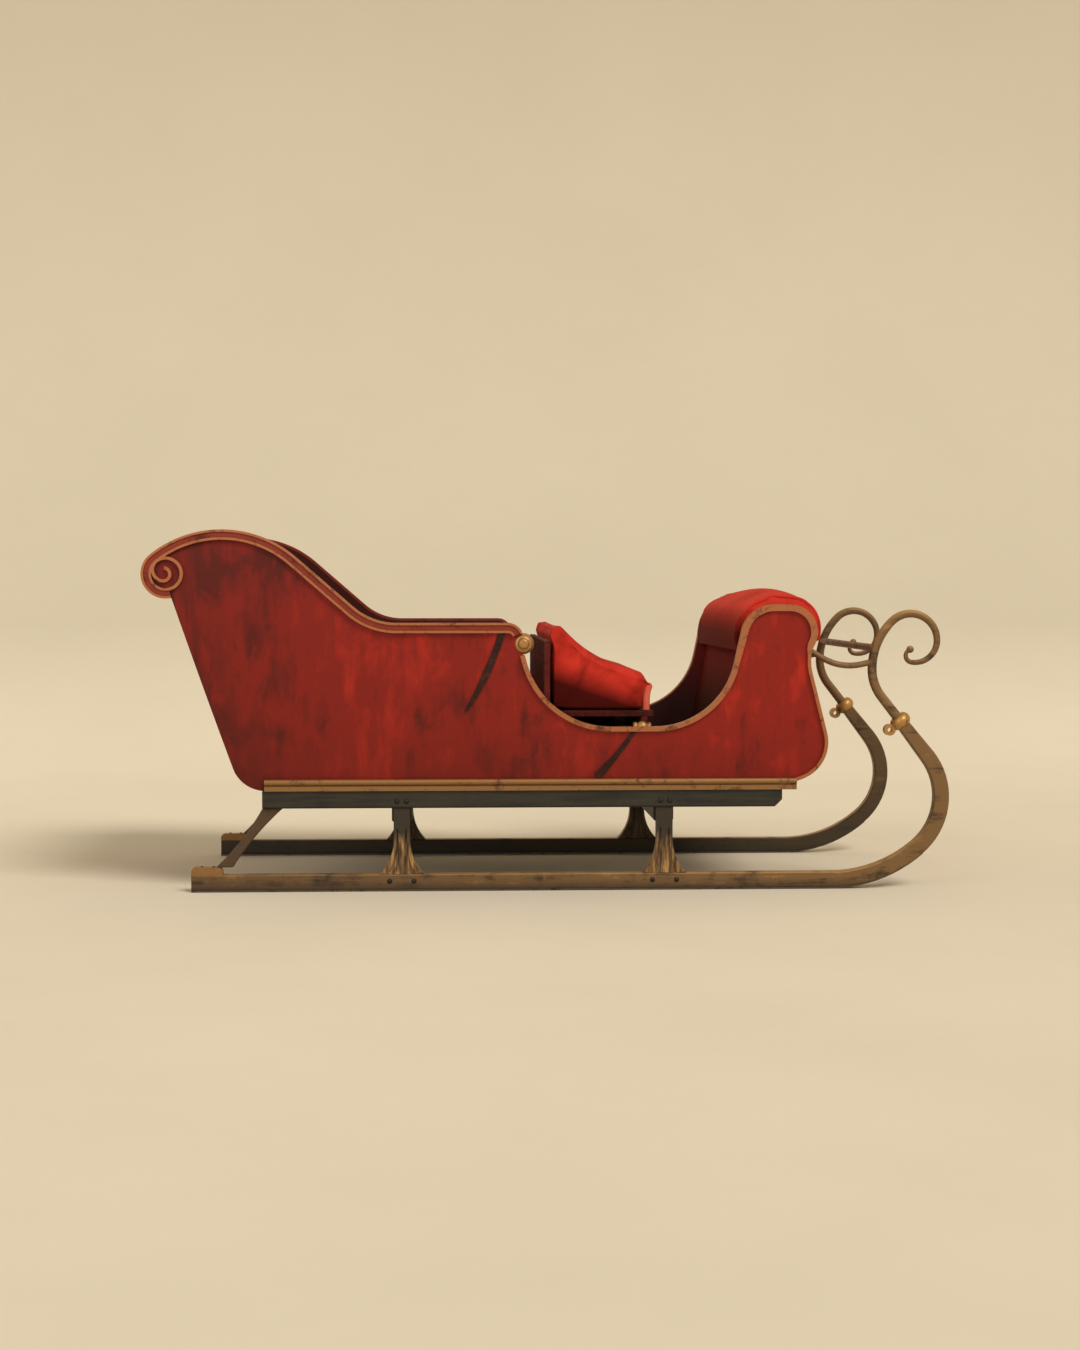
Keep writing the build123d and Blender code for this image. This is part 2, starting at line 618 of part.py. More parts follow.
apron_z = neck_z - SHEET - BOLSTER_APRON
wing_x, wing_z, wing_heading = front.runs[wing_start][3]
wing = Route(wing_x - (wing_z - apron_z) / tan(radians(wing_heading)), apron_z, wing_heading)
wing.line_to_z(wing_z)
wing.arc(DASH_REAR_RADIUS, -DASH_TURN)
wing.line(DASH_TOP_LENGTH)
wing.arc(DASH_ROLL_RADIUS, -DASH_ROLL_TURN)


def bolster_section(y, top):
    """The bolster's outline at one place across the sleigh."""
    edges = wing.side([BOLSTER_REAR, BOLSTER_REAR, top, top, BOLSTER_FRONT])
    face = make_face(edges + [Line(edges[-1] @ 1, edges[0] @ 0)])
    return face.moved(Location((0, y, 0)))


bolster_reach = SILL_HALF_WIDTH + SWELL
bolster_ends = [bolster_section(way * bolster_reach, BOLSTER_TOP - BOLSTER_CROWN) for way in (-1, 1)]
bolster_middle = bolster_section(0, BOLSTER_TOP)
bolster = loft([bolster_ends[0], bolster_middle, bolster_ends[1]])
over_shelf = brick(-SPAN, SPAN, -SPAN, SPAN, neck_z, SPAN)
behind_shelf = brick(-SPAN, shelf_x, -SPAN, SPAN, apron_z, SPAN) - dash_lining
save("dash_bolster", between_walls(bolster) & (over_shelf + behind_shelf))

# Runners with shoes, tail caps, knees, beams, rails and rear stays

runner = Route(RUNNER_TAIL_X, SHOE_THICKNESS + RUNNER_DEPTH / 2, 0)
runner.line_to_x(RUNNER_FLAT_END_X)
depths = [RUNNER_DEPTH, RUNNER_DEPTH]
for radius, turn, depth in BOW_ARCS:
    runner.arc(radius, turn)
    depths.append(depth)
runner.line(COLLAR_ALONG)
depths.append(BOW_TOP_DEPTH)
bow = across(runner.ribbon([depth / 2 for depth in depths]), -RUNNER_WIDTH / 2, RUNNER_WIDTH / 2)
bow = fillet(bow.faces().filter_by(Axis.Y).edges(), RUNNER_ROUND)
bow = Pos(0, TRACK / 2, 0) * bow
save_pair("runner", bow)

shoe = Route(RUNNER_TAIL_X, SHOE_THICKNESS / 2, 0)
shoe.line_to_x(RUNNER_FLAT_END_X)
shoe.arc(BOW_ARCS[0][0] + SOLE_TOP / 2, BOW_ARCS[0][1])
shoe_half = RUNNER_WIDTH / 2 - RUNNER_ROUND
shoe_under = [-SHOE_THICKNESS / 2, -SHOE_THICKNESS / 2, SHOE_THICKNESS / 4]  # thins out towards the nose
shoe_piece = across(shoe.band(SHOE_THICKNESS / 2, shoe_under), -shoe_half, shoe_half)
save_pair("runner_shoe", Pos(0, TRACK / 2, 0) * shoe_piece)

cap_end_x = RUNNER_TAIL_X + TAIL_CAP_LENGTH
cap_half = RUNNER_WIDTH / 2 - RUNNER_ROUND
tail_cap = brick(RUNNER_TAIL_X, cap_end_x, -cap_half, cap_half, SOLE_TOP, SOLE_TOP + TAIL_CAP_HEIGHT)
tail_cap = fillet(tail_cap.edges().filter_by(Axis.Y).group_by(Axis.Z)[-1], TAIL_CAP_HEIGHT * 0.6)
save_pair("tail_cap", Pos(0, TRACK / 2, 0) * tail_cap)


def knee():
    """A post with a flared foot that grooves part into three toes on both faces."""
    post, foot = KNEE_POST_LENGTH / 2, KNEE_FOOT_LENGTH / 2
    flare = degrees(acos(1 - (foot - post) / KNEE_FLARE_RADIUS))
    rise = KNEE_FLARE_RADIUS * sin(radians(flare))
    side = Route(foot, SOLE_TOP, 90 + flare).arc(KNEE_FLARE_RADIUS, -flare).line_to_z(RAIL_BASE)
    right = side.side(0)
    left = [mirror(edge, about=Plane.YZ) for edge in right]
    ends = [Line(left[0] @ 0, right[0] @ 0), Line(left[-1] @ 1, right[-1] @ 1)]
    body = across(make_face(right + left + ends), -KNEE_WIDTH / 2, KNEE_WIDTH / 2)
    for way in (-1, 1):
        groove = Route(way * foot * 0.5, SOLE_TOP, 90 + way * flare * 0.6)
        groove.arc(KNEE_FLARE_RADIUS * 1.3, -way * flare * 0.6)
        groove.line(rise * 0.5)
        cut = groove.ribbon([KNEE_GROOVE, KNEE_GROOVE * 0.6, KNEE_GROOVE * 0.2])
        body -= across(cut, KNEE_WIDTH / 2 - KNEE_GROOVE, KNEE_WIDTH)
        body -= across(cut, -KNEE_WIDTH, KNEE_GROOVE - KNEE_WIDTH / 2)
    return body


beam_reach = TRACK / 2 - KNEE_WIDTH / 2
for place, x in (("rear", KNEE_REAR_X), ("front", KNEE_FRONT_X)):
    save_pair(f"knee_{place}", Pos(x, TRACK / 2, 0) * knee())
    beam = Box(BEAM_LENGTH_X, 2 * beam_reach, BEAM_HEIGHT)
    beam = chamfer(beam.edges().filter_by(Axis.Y).group_by(Axis.Z)[0], RAIL_CHAMFER)
    save(f"cross_beam_{place}", Pos(x, 0, RAIL_BASE - BEAM_HEIGHT / 2) * beam)

rail_rear_x = BACK_FOOT_X + RAIL_SET
rail_face = outline(
    (rail_rear_x, RAIL_BASE),
    (RAIL_FRONT_X - RAIL_NOSE_CUT, RAIL_BASE),
    (RAIL_FRONT_X, RAIL_BASE + RAIL_NOSE_CUT),
    (RAIL_FRONT_X, BODY_BASE),
    (rail_rear_x, BODY_BASE),
)
bed_rail = across(rail_face, TRACK / 2 - RAIL_WIDTH / 2, TRACK / 2 + RAIL_WIDTH / 2)
bed_rail = chamfer(bed_rail.edges().filter_by(Axis.X).group_by(Axis.Z)[0], RAIL_CHAMFER)
save_pair("bed_rail", bed_rail)

stay_base = SOLE_TOP + TAIL_CAP_HEIGHT
stay_head_x = rail_rear_x + STAY_HEAD / 2
stay_foot_x = stay_head_x - STAY_RUN
stay_mid = ((stay_head_x + stay_foot_x) / 2, (RAIL_BASE + stay_base) / 2)
stay_sides = []
for way in (-0.5, 0.5):
    foot = (stay_foot_x + way * STAY_FOOT, 0, stay_base)
    waist = (stay_mid[0] + way * STAY_WAIST, 0, stay_mid[1])
    head = (stay_head_x + way * STAY_HEAD, 0, RAIL_BASE)
    stay_sides.append(ThreePointArc(foot, waist, head))
stay_ends = [Line(stay_sides[0] @ end, stay_sides[1] @ end) for end in (0, 1)]
stay_face = make_face(stay_sides + stay_ends)
save_pair("rear_stay", Pos(0, TRACK / 2, 0) * across(stay_face, -STAY_WIDTH / 2, STAY_WIDTH / 2))

# Round necks with scrolls, collars, cross rod and dash stays


def round_section(state, radius):
    """A circle square to a route."""
    x, z, heading = state
    plane = Plane((x, 0, z), x_dir=(0, 1, 0), z_dir=(cos(radians(heading)), 0, sin(radians(heading))))
    return plane * Circle(radius)


neck = Route(*runner.state())
neck.line(NECK_STRAIGHT)
bar = [NECK_FOOT_RADIUS, NECK_RADIUS]
for radius, turn, bar_radius in NECK_ARCS:
    neck.arc(radius, turn)
    bar.append(bar_radius)
places = [neck.runs[0][1]] + [run[3] for run in neck.runs]
sections = [round_section(place, radius) for place, radius in zip(places, bar)]
scroll = sweep(sections, path=Wire([edge.edge() for edge in neck.side(0)]), multisection=True)
scroll = scroll + Pos(neck.x, 0, neck.z) * Sphere(BALL_RADIUS)
scroll = Pos(0, TRACK / 2, 0) * scroll
save_pair("runner_scroll", scroll)

collar_x, collar_z, collar_heading = runner.state()
half_collar = COLLAR_LENGTH / 2
collar = turned(
    (0, COLLAR_RADIUS),
    (half_collar * 0.6, COLLAR_RADIUS * 0.93),
    (half_collar, COLLAR_RADIUS * 0.74),
)
collar = Pos(collar_x, TRACK / 2, collar_z) * Rot(0, -collar_heading, 0) * collar
eye_x, _, eye_z = beside(runner.state(), EYE_REACH)
eye = Pos(eye_x, TRACK / 2, eye_z) * Rot(90, 0, 0) * Cylinder(EYE_RADIUS, EYE_WIDTH)
bore = Pos(eye_x, TRACK / 2, eye_z) * Rot(90, 0, 0) * Cylinder(EYE_BORE_RADIUS, TRACK)
save_pair("shaft_collar", collar + eye - bow - scroll - bore)

waist_x, waist_z, _ = neck.runs[1][3]
swing = NECK_ARCS[1][0]
rod_x = waist_x + swing - sqrt(swing**2 - CROSS_ROD_RISE**2)
rod = Pos(rod_x, 0, waist_z + CROSS_ROD_RISE) * Rot(90, 0, 0) * Cylinder(CROSS_ROD_RADIUS, TRACK)
save("cross_rod", rod - scroll - mirror(scroll, about=Plane.XZ))

dash_stay = Route(neck_x - DASH_BEAD_CAP - SHEET / 2, neck_z - DASH_STAY_RADIUS, -DASH_STAY_SLOPE)
dash_stay.line(DASH_STAY_LENGTH)
dash_stay.arc(DASH_STAY_BEND, DASH_STAY_TURN)
dash_stay.line(DASH_STAY_END)
stay_path = Wire([edge.edge() for edge in dash_stay.side(0)])
stay_bar = sweep(round_section(dash_stay.runs[0][1], DASH_STAY_RADIUS), path=stay_path)
stay_bar = Pos(0, TRACK / 2, 0) * stay_bar
save_pair("dash_stay", stay_bar - dash_panel - scroll)
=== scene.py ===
import math

import bmesh
import bpy
from mathutils import Matrix, Vector
from mathutils.bvhtree import BVHTree


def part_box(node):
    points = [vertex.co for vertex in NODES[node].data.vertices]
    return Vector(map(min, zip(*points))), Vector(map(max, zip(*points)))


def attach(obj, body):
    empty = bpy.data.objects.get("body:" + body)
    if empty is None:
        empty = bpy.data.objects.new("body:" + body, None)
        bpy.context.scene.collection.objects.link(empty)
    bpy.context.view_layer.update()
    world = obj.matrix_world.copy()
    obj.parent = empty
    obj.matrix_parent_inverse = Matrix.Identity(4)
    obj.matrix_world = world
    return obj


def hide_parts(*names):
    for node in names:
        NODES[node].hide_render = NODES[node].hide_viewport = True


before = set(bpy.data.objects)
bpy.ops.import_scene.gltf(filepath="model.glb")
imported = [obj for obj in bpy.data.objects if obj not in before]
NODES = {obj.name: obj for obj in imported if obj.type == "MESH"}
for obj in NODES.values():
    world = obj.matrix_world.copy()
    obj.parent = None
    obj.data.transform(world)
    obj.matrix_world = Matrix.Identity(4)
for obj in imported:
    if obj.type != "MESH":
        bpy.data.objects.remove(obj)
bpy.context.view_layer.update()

SIDES = (("left", 1), ("right", -1))
KNEE_PLACES = (-0.44, 0.34)  # along the sleigh
STRAP_RIVETS = ((-0.155, 0.735), (-0.221, 0.58), (0.229, 0.455), (0.165, 0.38))  # along it, and up
CAP_RIVETS = (-1.03, -0.995)  # along the sleigh

# Places in metres between which paint, painted shade and painted light change
DASH_PAINTED_LIGHT_X = (0.3, 0.5)
DASH_PAINTED_LIGHT_Z = (0.52, 0.84)
SILL_SHADE_Z = (0.32, 0.5)
REAR_SHADE_X = (-0.9, 0.5)
BACK_EDGE_SHADE = (-0.75, -0.62)
SOLE_PAINTED_SHADE_Z = (0.012, 0.036)
TAIL_DARKENING_X = (-1.0, 0.6)
INNER_SHADE_Z = (0.08, 0.5)
POST_FADE_Z = (0.12, 0.18)
BACK_RAKE = (0.946, 0.324)  # shares of X and Z in the way that the raked back faces

bl_info = {
    "name": "Horse drawn sleigh",
    "version": (1, 0, 0),
    "blender": (4, 5, 0),
    "location": "3D View > Sidebar > Sleigh",
    "description": "Paints, gilds and upholsters an open sleigh on bent runners and sets it in a studio",
    "category": "Object",
}


def tone(code):
    """A colour written as six hex digits, as linear red, green and blue."""
    parts = (int(code[i : i + 2], 16) / 255 for i in (0, 2, 4))
    return tuple(c / 12.92 if c <= 0.04045 else ((c + 0.055) / 1.055) ** 2.4 for c in parts)


def colour(label, words, code):
    """A colour that can be set in the sidebar."""
    return bpy.props.FloatVectorProperty(
        name=label, description=words, subtype="COLOR", size=3, min=0, max=1, default=tone(code)
    )


def length(label, words, metres):
    """A length that can be set in the sidebar."""
    return bpy.props.FloatProperty(
        name=label, description=words, default=metres, min=0, unit="LENGTH", precision=4
    )


def amount(label, words, value):
    """A plain number that can be set in the sidebar."""
    return bpy.props.FloatProperty(name=label, description=words, default=value, min=0)


def position(label, words, place):
    """A point that can be set in the sidebar."""
    return bpy.props.FloatVectorProperty(
        name=label, description=words, subtype="TRANSLATION", size=3, default=place
    )


class SleighPaint(bpy.types.PropertyGroup):
    """Colours of the paint, gilding and ironwork."""

    lacquer: colour("Lacquer", "Red of the body's panels", "871c10")
    # Also the painted shade towards the sill, the rear and the back edge of the panels.
    lacquer_deep: colour("Deep lacquer", "Dark mottles in the red", "54150c")
    lacquer_bright: colour("Bright lacquer", "Rubbed places in the red", "ac2617")
    # Dark enough to stand in for the shade inside the body as well as to be its lining.
    lining: colour("Lining", "Maroon inside the body", "451611")
    gilt: colour("Gilt", "Beads along the rims", "a9663f")
    gilt_dark: colour("Dark gilt", "Patina in the gilding", "5d3119")
    sill: colour("Sill", "Gilt mouldings along the sills", "8a6236")
    copper: colour("Copper", "Arm rails", "82301c")
    bronze: colour("Bronze", "Runners and their scrolls", "765733")
    # Also the painted highlight on the runners' upward faces.
    bronze_light: colour("Light bronze", "Rubbed tops of the runners", "ac8248")
    # Also the painted shade along the runners' soles, and their darker tails.
    bronze_dark: colour("Dark bronze", "Worn hollows of the runners", "352818")
    brass: colour("Brass", "Knobs, bosses, collars and tacks", "a67a48")
    # Also the painted shade on the inner faces of the runners and knees.
    timber_dark: colour("Dark timber", "Bed rails and cross beams", "2b271d")
    iron: colour("Iron", "Straps and bolts", "34170f")
    steel: colour("Steel", "Runner shoes", "5f5a54")
    boards: colour("Boards", "Floor boards", "5c3320")


class SleighPadding(bpy.types.PropertyGroup):
    """Sizes and colours of the cushions."""

    plush: colour("Plush", "Red of the cushions", "a52017")
    plush_bright: colour("Bright plush", "Bolster and rolled edges", "bd3022")
    # Much darkened, also the painted shadow on the front seat's sides.
    plush_deep: colour("Deep plush", "Pile that lies away from the light", "7d1810")
    # Pale, as a painted highlight on that cord.
    plush_edge_highlight: colour("Edge plush", "Thick cord along the front seat's edge", "c4604a")
    weave: length("Weave", "Grid on which the covers are simulated", 0.008)
    slack: length("Slack", "How far a cover is cut inside the cushion's space", 0.016)
    swell: length("Swell", "How far the stuffing may lift a cover", 0.019)
    welt_radius: length("Welt radius", "Radius of the sewn cords", 0.005)
    dimple: length("Dimple", "Depth of a buttoned hollow", 0.022)
    edge_radius: length("Edge radius", "Radius of the thick cord along the front seat's edge", 0.010)
    edge_set: length("Edge set", "How far inside the front seat its edges are felt for", 0.040)
    pressure: amount("Pressure", "Stuffing pressure under the covers", 4.0)


class SleighFastenings(bpy.types.PropertyGroup):
    """Sizes of bolts, rivets, tacks and buttons."""

    bolt_radius: length("Bolt radius", "Radius of a carriage bolt's head", 0.0075)
    bolt_height: length("Bolt height", "Height of a carriage bolt's head", 0.005)
    rail_spread: length("Rail spread", "From a knee's middle to a bolt in the bed rail", 0.014)
    rail_bolt_z: length("Rail bolt height", "Height of the bolts in the bed rails", 0.268)
    runner_spread: length("Runner spread", "From a knee's middle to a bolt in the runner", 0.036)
    runner_bolt_z: length("Runner bolt height", "Height of the bolts in the runners", 0.031)
    rivet_radius: length("Rivet radius", "Radius of a rivet's head", 0.0045)
    rivet_height: length("Rivet height", "Height of a rivet's head", 0.003)
    tack_radius: length("Tack radius", "Radius of a tack along the bolster", 0.0055)
    tack_height: length("Tack height", "Height of a tack along the bolster", 0.0035)
    tack_pitch: length("Tack pitch", "Distance between tacks", 0.031)
    tack_rise: length("Tack rise", "Height of the tacks over the dash", 0.016)
    button_radius: length("Button radius", "Radius of a button in the rear back", 0.011)
    button_height: length("Button height", "Height of a button in the rear back", 0.006)
    button_pitch: length("Button pitch", "Distance between buttons in a row", 0.19)


class SleighStage(bpy.types.PropertyGroup):
    """Camera, light and floor of the studio."""

    eye: position("Eye", "Place of the camera", (-0.334, -6.955, 0.893))
    target: position("Target", "Point in the picture's middle", (-0.03, -0.45, 0.64))
    lens: amount("Lens", "Focal length in millimetres", 58.6)
    ground: colour("Ground", "Floor of the studio", "e2d6be")
    wall: colour("Wall", "Backdrop of the studio", "c8bca3")
    haze: colour("Haze", "What is seen beyond the backdrop", "d3c3a6")
    air: amount("Air", "Strength of the light from all around", 0.42)
    key: amount("Key", "Strength of the main light", 2.0)
    key_from: position("Key from", "Where the main light comes from", (3.0, -4.2, 5.2))
    fill: amount("Fill", "Strength of the light from the rear quarter", 0.7)
    fill_from: position("Fill from", "Where the light from the rear quarter comes from", (-4.5, -6.0, 2.5))
    reach: length("Reach", "How far the floor goes to each side and to the front", 60.0)
    sweep_start: length("Sweep start", "Where the floor starts to curve up behind the sleigh", 3.0)
    sweep_radius: length("Sweep radius", "Radius of the curve between floor and backdrop", 5.0)
    sweep_height: length("Sweep height", "Height of the backdrop", 40.0)


def shaded(shade, factor):
    """A lighter or darker version of a colour."""
    return tuple(min(1.0, factor * c) for c in shade)


class Finish:
    """A material on a Principled surface, built up node by node in the object's own coordinates."""

    def __init__(self, name, **sockets):
        self.material = bpy.data.materials.new(name)
        self.material.use_nodes = True
        self.nodes = self.material.node_tree.nodes
        self.links = self.material.node_tree.links
        self.surface = self.nodes["Principled BSDF"]
        for socket, value in sockets.items():
            self.surface.inputs[socket.replace("_", " ")].default_value = value
        self.place = self.nodes.new("ShaderNodeTexCoord").outputs["Object"]

    def add(self, kind, settings=None, **inputs):
        """A node with its settings; an input is linked or set by its name, or by a number after i."""
        node = self.nodes.new(kind)
        for key, value in (settings or {}).items():
            setattr(node, key, value)
        for key, value in inputs.items():
            socket = node.inputs[int(key[1:])] if key[1:].isdigit() else node.inputs[key]
            if isinstance(value, bpy.types.NodeSocket):
                self.links.new(value, socket)
            else:
                socket.default_value = value
        return node

    def noise(self, scale, detail=4.0, rough=0.55, stretch=None, swirl=0.0):
        """Cloudy noise; stretch squeezes it along the axes to make grain or streaks."""
        where = self.place
        if stretch:
            where = self.add("ShaderNodeMapping", Vector=where, Scale=stretch).outputs[0]
        look = {"Scale": scale, "Detail": detail, "Roughness": rough, "Distortion": swirl}
        return self.add("ShaderNodeTexNoise", Vector=where, **look).outputs["Fac"]

    def ramp(self, factor, *stops):
        """Colour stops: a place from 0 to 1, and a colour or a grey level."""
        node = self.add("ShaderNodeValToRGB", Fac=factor)
        elements = node.color_ramp.elements
        while len(elements) < len(stops):
            elements.new(0.5)
        for element, (where, shade) in zip(elements, stops):
            element.position = where
            element.color = (*shade, 1) if hasattr(shade, "__len__") else (shade, shade, shade, 1)
        return node.outputs["Color"]

    def blend(self, factor, a, b):
        """Colour a where the factor is 0 and colour b where it is 1."""
        first, second = [(*shade, 1) if hasattr(shade, "__len__") else shade for shade in (a, b)]
        node = self.add("ShaderNodeMix", {"data_type": "RGBA"}, i0=factor, i6=first, i7=second)
        return node.outputs[2]

    def math(self, way, a, b=0.0):
        """One step of arithmetic."""
        return self.add("ShaderNodeMath", {"operation": way}, i0=a, i1=b).outputs[0]

    def weighted(self, *pairs):
        """The sum of values, each times its weight."""
        total = None
        for value, weight in pairs:
            term = self.math("MULTIPLY", value, weight)
            total = term if total is None else self.math("ADD", total, term)
        return total

    def span(self, value, low, high, out_low=0.0, out_high=1.0):
        """A value between two limits, as a value between two others."""
        node = self.add("ShaderNodeMapRange", i0=value, i1=low, i2=high, i3=out_low, i4=out_high)
        return node.outputs[0]

    def axis(self, name):
        """One of the object's own coordinates."""
        return self.add("ShaderNodeSeparateXYZ", Vector=self.place).outputs[name]

    def facing(self, name):
        """One part of the surface's own direction."""
        normal = self.nodes.new("ShaderNodeNewGeometry").outputs["Normal"]
        return self.add("ShaderNodeSeparateXYZ", Vector=normal).outputs[name]

    def set(self, socket, value):
        """Links a value to a socket of the surface."""
        self.links.new(value, self.surface.inputs[socket])

    def bump(self, height, strength=0.2, distance=0.002):
        """Roughens the surface by a height."""
        node = self.add("ShaderNodeBump", Height=height, Strength=strength, Distance=distance)
        self.set("Normal", node.outputs[0])


def inner_face(finish):
    """1 on faces that look towards the middle of the sleigh, and 0 on the others."""
    inward = finish.math("MULTIPLY", finish.facing("Y"), finish.axis("Y"))
    return finish.span(inward, -0.1, -0.2)


def lined_shade(finish, paint, mottles):
    """Maroon, dark enough to stand in for the shade inside the body, that turns red towards the top and
    front of the dash as painted light.
    """
    dark = finish.blend(mottles, paint.lining, shaded(paint.lining, 0.5))
    # Painted light: red towards the top and front of the dash.
    height = finish.span(finish.axis("Z"), *DASH_PAINTED_LIGHT_Z)
    ahead = finish.span(finish.axis("X"), *DASH_PAINTED_LIGHT_X)
    return finish.blend(finish.math("MULTIPLY", height, ahead), dark, paint.lacquer)


def lined_board(name, paint):
    """The board that lines the dash, maroon that turns red towards its top as painted light."""
    finish = Finish(name, Specular_IOR_Level=0.06, Roughness=0.85)
    mottles = finish.noise(9.0, 8, 0.66, stretch=(1.2, 1.2, 0.7), swirl=0.5)
    finish.set("Base Color", lined_shade(finish, paint, mottles))
    finish.bump(finish.noise(1.0, 5, 0.6, stretch=(40, 4, 40)), 0.2, 0.0012)
    return finish.material


def lacquer(name, paint, lined=False):
    """Brushed red paint with dark mottles, and painted shade towards the sill and the rear; a lined panel
    has painted shade streaked along its back edge, and is maroon on its inner face, dark enough to stand in
    for the shade inside the body.
    """
    finish = Finish(name, Coat_Weight=0.04, Coat_Roughness=0.3, Specular_IOR_Level=0.2)
    blotches = finish.noise(2.6, 5, 0.6, stretch=(1.2, 1.2, 0.8), swirl=0.8)
    mottles = finish.noise(9.0, 8, 0.66, stretch=(1.2, 1.2, 0.7), swirl=0.5)
    streaks = finish.noise(1.0, 5, 0.6, stretch=(34, 34, 5))
    mixed = finish.weighted((blotches, 0.46), (mottles, 0.36), (streaks, 0.18))
    red = finish.ramp(
        mixed,
        (0.4, paint.lacquer_deep),
        (0.49, paint.lacquer),
        (0.53, paint.lacquer),
        (0.62, paint.lacquer_bright),
    )
    # Painted shade towards the sill, broken up by the mottles.
    low = finish.span(finish.axis("Z"), *SILL_SHADE_Z, 0.75, 0.0)
    red = finish.blend(finish.math("MULTIPLY", low, mottles), red, paint.lacquer_deep)
    # Painted shade towards the rear.
    behind = finish.span(finish.axis("X"), *REAR_SHADE_X, 0.3, 0.0)
    red = finish.blend(behind, red, paint.lacquer_deep)
    if lined:
        # Painted shade streaked along the raked back edge.
        share_x, share_z = BACK_RAKE
        from_back = finish.weighted((finish.axis("X"), share_x), (finish.axis("Z"), share_z))
        edge = finish.span(from_back, *BACK_EDGE_SHADE, 1.0, 0.0)
        darkened = finish.math("MULTIPLY", edge, finish.span(streaks, 0.4, 0.6))
        red = finish.blend(darkened, red, paint.lacquer_deep)
        # Maroon on the inner face, dark enough to stand in for the shade inside the body.
        red = finish.blend(inner_face(finish), red, lined_shade(finish, paint, mottles))
    finish.set("Base Color", red)
    finish.set("Roughness", finish.span(mottles, 0.3, 0.7, 0.58, 0.4))
    brush = finish.math("ADD", finish.noise(1.0, 3, 0.6, stretch=(160, 160, 22)), finish.noise(90, 3))
    finish.bump(brush, 0.16, 0.0012)
    return finish.material


def gilding(name, light, dark, metal=0.6, rough=0.42, mottle=26.0, bump=0.2, shine=0.5):
    """Leaf or metal with a dark patina in its hollows."""
    finish = Finish(name, Metallic=metal, Specular_IOR_Level=shine)
    patina = finish.noise(mottle, 7, 0.65, swirl=0.5)
    fine = finish.noise(mottle * 9, 4, 0.6)
    mixed = finish.weighted((patina, 0.72), (fine, 0.28))
    shade = finish.ramp(mixed, (0.36, dark), (0.47, light), (0.58, light), (0.68, shaded(light, 1.3)))
    finish.set("Base Color", shade)
    finish.set("Roughness", finish.span(mixed, 0.3, 0.7, rough + 0.18, rough - 0.08))
    finish.bump(mixed, bump, 0.001)
    return finish.material


def runner_finish(name, paint):
    """Bent timber under worn gilding: a painted highlight on top, broken up by wear, painted shade along
    the sole and on the inner face, and darker towards the tail.
    """
    finish = Finish(name, Metallic=0.25, Specular_IOR_Level=0.4)
    grain = finish.noise(1.0, 6, 0.65, stretch=(5, 60, 60), swirl=0.3)
    wear = finish.noise(11, 7, 0.66, swirl=0.5)
    mixed = finish.weighted((grain, 0.45), (wear, 0.55))
    shade = finish.ramp(
        mixed,
        (0.38, paint.bronze_dark),
        (0.49, paint.bronze),
        (0.57, paint.bronze),
        (0.68, paint.bronze_light),
    )
    # Painted highlight on the upward faces, broken up by wear.
    up = finish.span(finish.facing("Z"), 0.2, 0.8, 0.0, 0.8)
    rubbed_and_highlit = finish.math("MULTIPLY", up, finish.span(wear, 0.35, 0.5))
    shade = finish.blend(rubbed_and_highlit, shade, paint.bronze_light)
    # Painted shade along the sole.
    sole = finish.span(finish.axis("Z"), *SOLE_PAINTED_SHADE_Z, 0.7, 0.0)
    shade = finish.blend(sole, shade, paint.bronze_dark)
    # Darker towards the tail.
    tail = finish.span(finish.axis("X"), *TAIL_DARKENING_X, 0.4, 0.0)
    shade = finish.blend(tail, shade, paint.bronze_dark)
    # Painted shade on the inner face, fading with height.
    dimmed = finish.span(finish.axis("Z"), *INNER_SHADE_Z, 0.85, 0.3)
    inner = finish.math("MULTIPLY", inner_face(finish), dimmed)
    finish.set("Base Color", finish.blend(inner, shade, paint.timber_dark))
    finish.set("Roughness", finish.span(mixed, 0.3, 0.7, 0.64, 0.44))
    finish.bump(mixed, 0.3, 0.0015)
    return finish.material


def knee_finish(name, paint):
    """Gilt toes that fade into a dark post, and painted shade on the inner face."""
    finish = Finish(name, Metallic=0.3)
    wear = finish.noise(20, 7, 0.66, swirl=0.4)
    grain = finish.noise(1.0, 5, 0.6, stretch=(90, 90, 12))
    gold = finish.ramp(grain, (0.36, paint.bronze_dark), (0.5, paint.bronze), (0.62, paint.bronze_light))
    dark = finish.blend(wear, paint.timber_dark, paint.bronze_dark)
    height = finish.math("ADD", finish.axis("Z"), finish.span(wear, 0.3, 0.7, -0.03, 0.03))
    shade = finish.blend(finish.span(height, *POST_FADE_Z), gold, dark)
    # Painted shade on the inner face.
    inner = finish.math("MULTIPLY", inner_face(finish), 0.75)
    finish.set("Base Color", finish.blend(inner, shade, paint.timber_dark))
    finish.set("Roughness", finish.span(wear, 0.3, 0.7, 0.62, 0.45))
    finish.bump(finish.math("ADD", grain, wear), 0.3, 0.0015)
    return finish.material


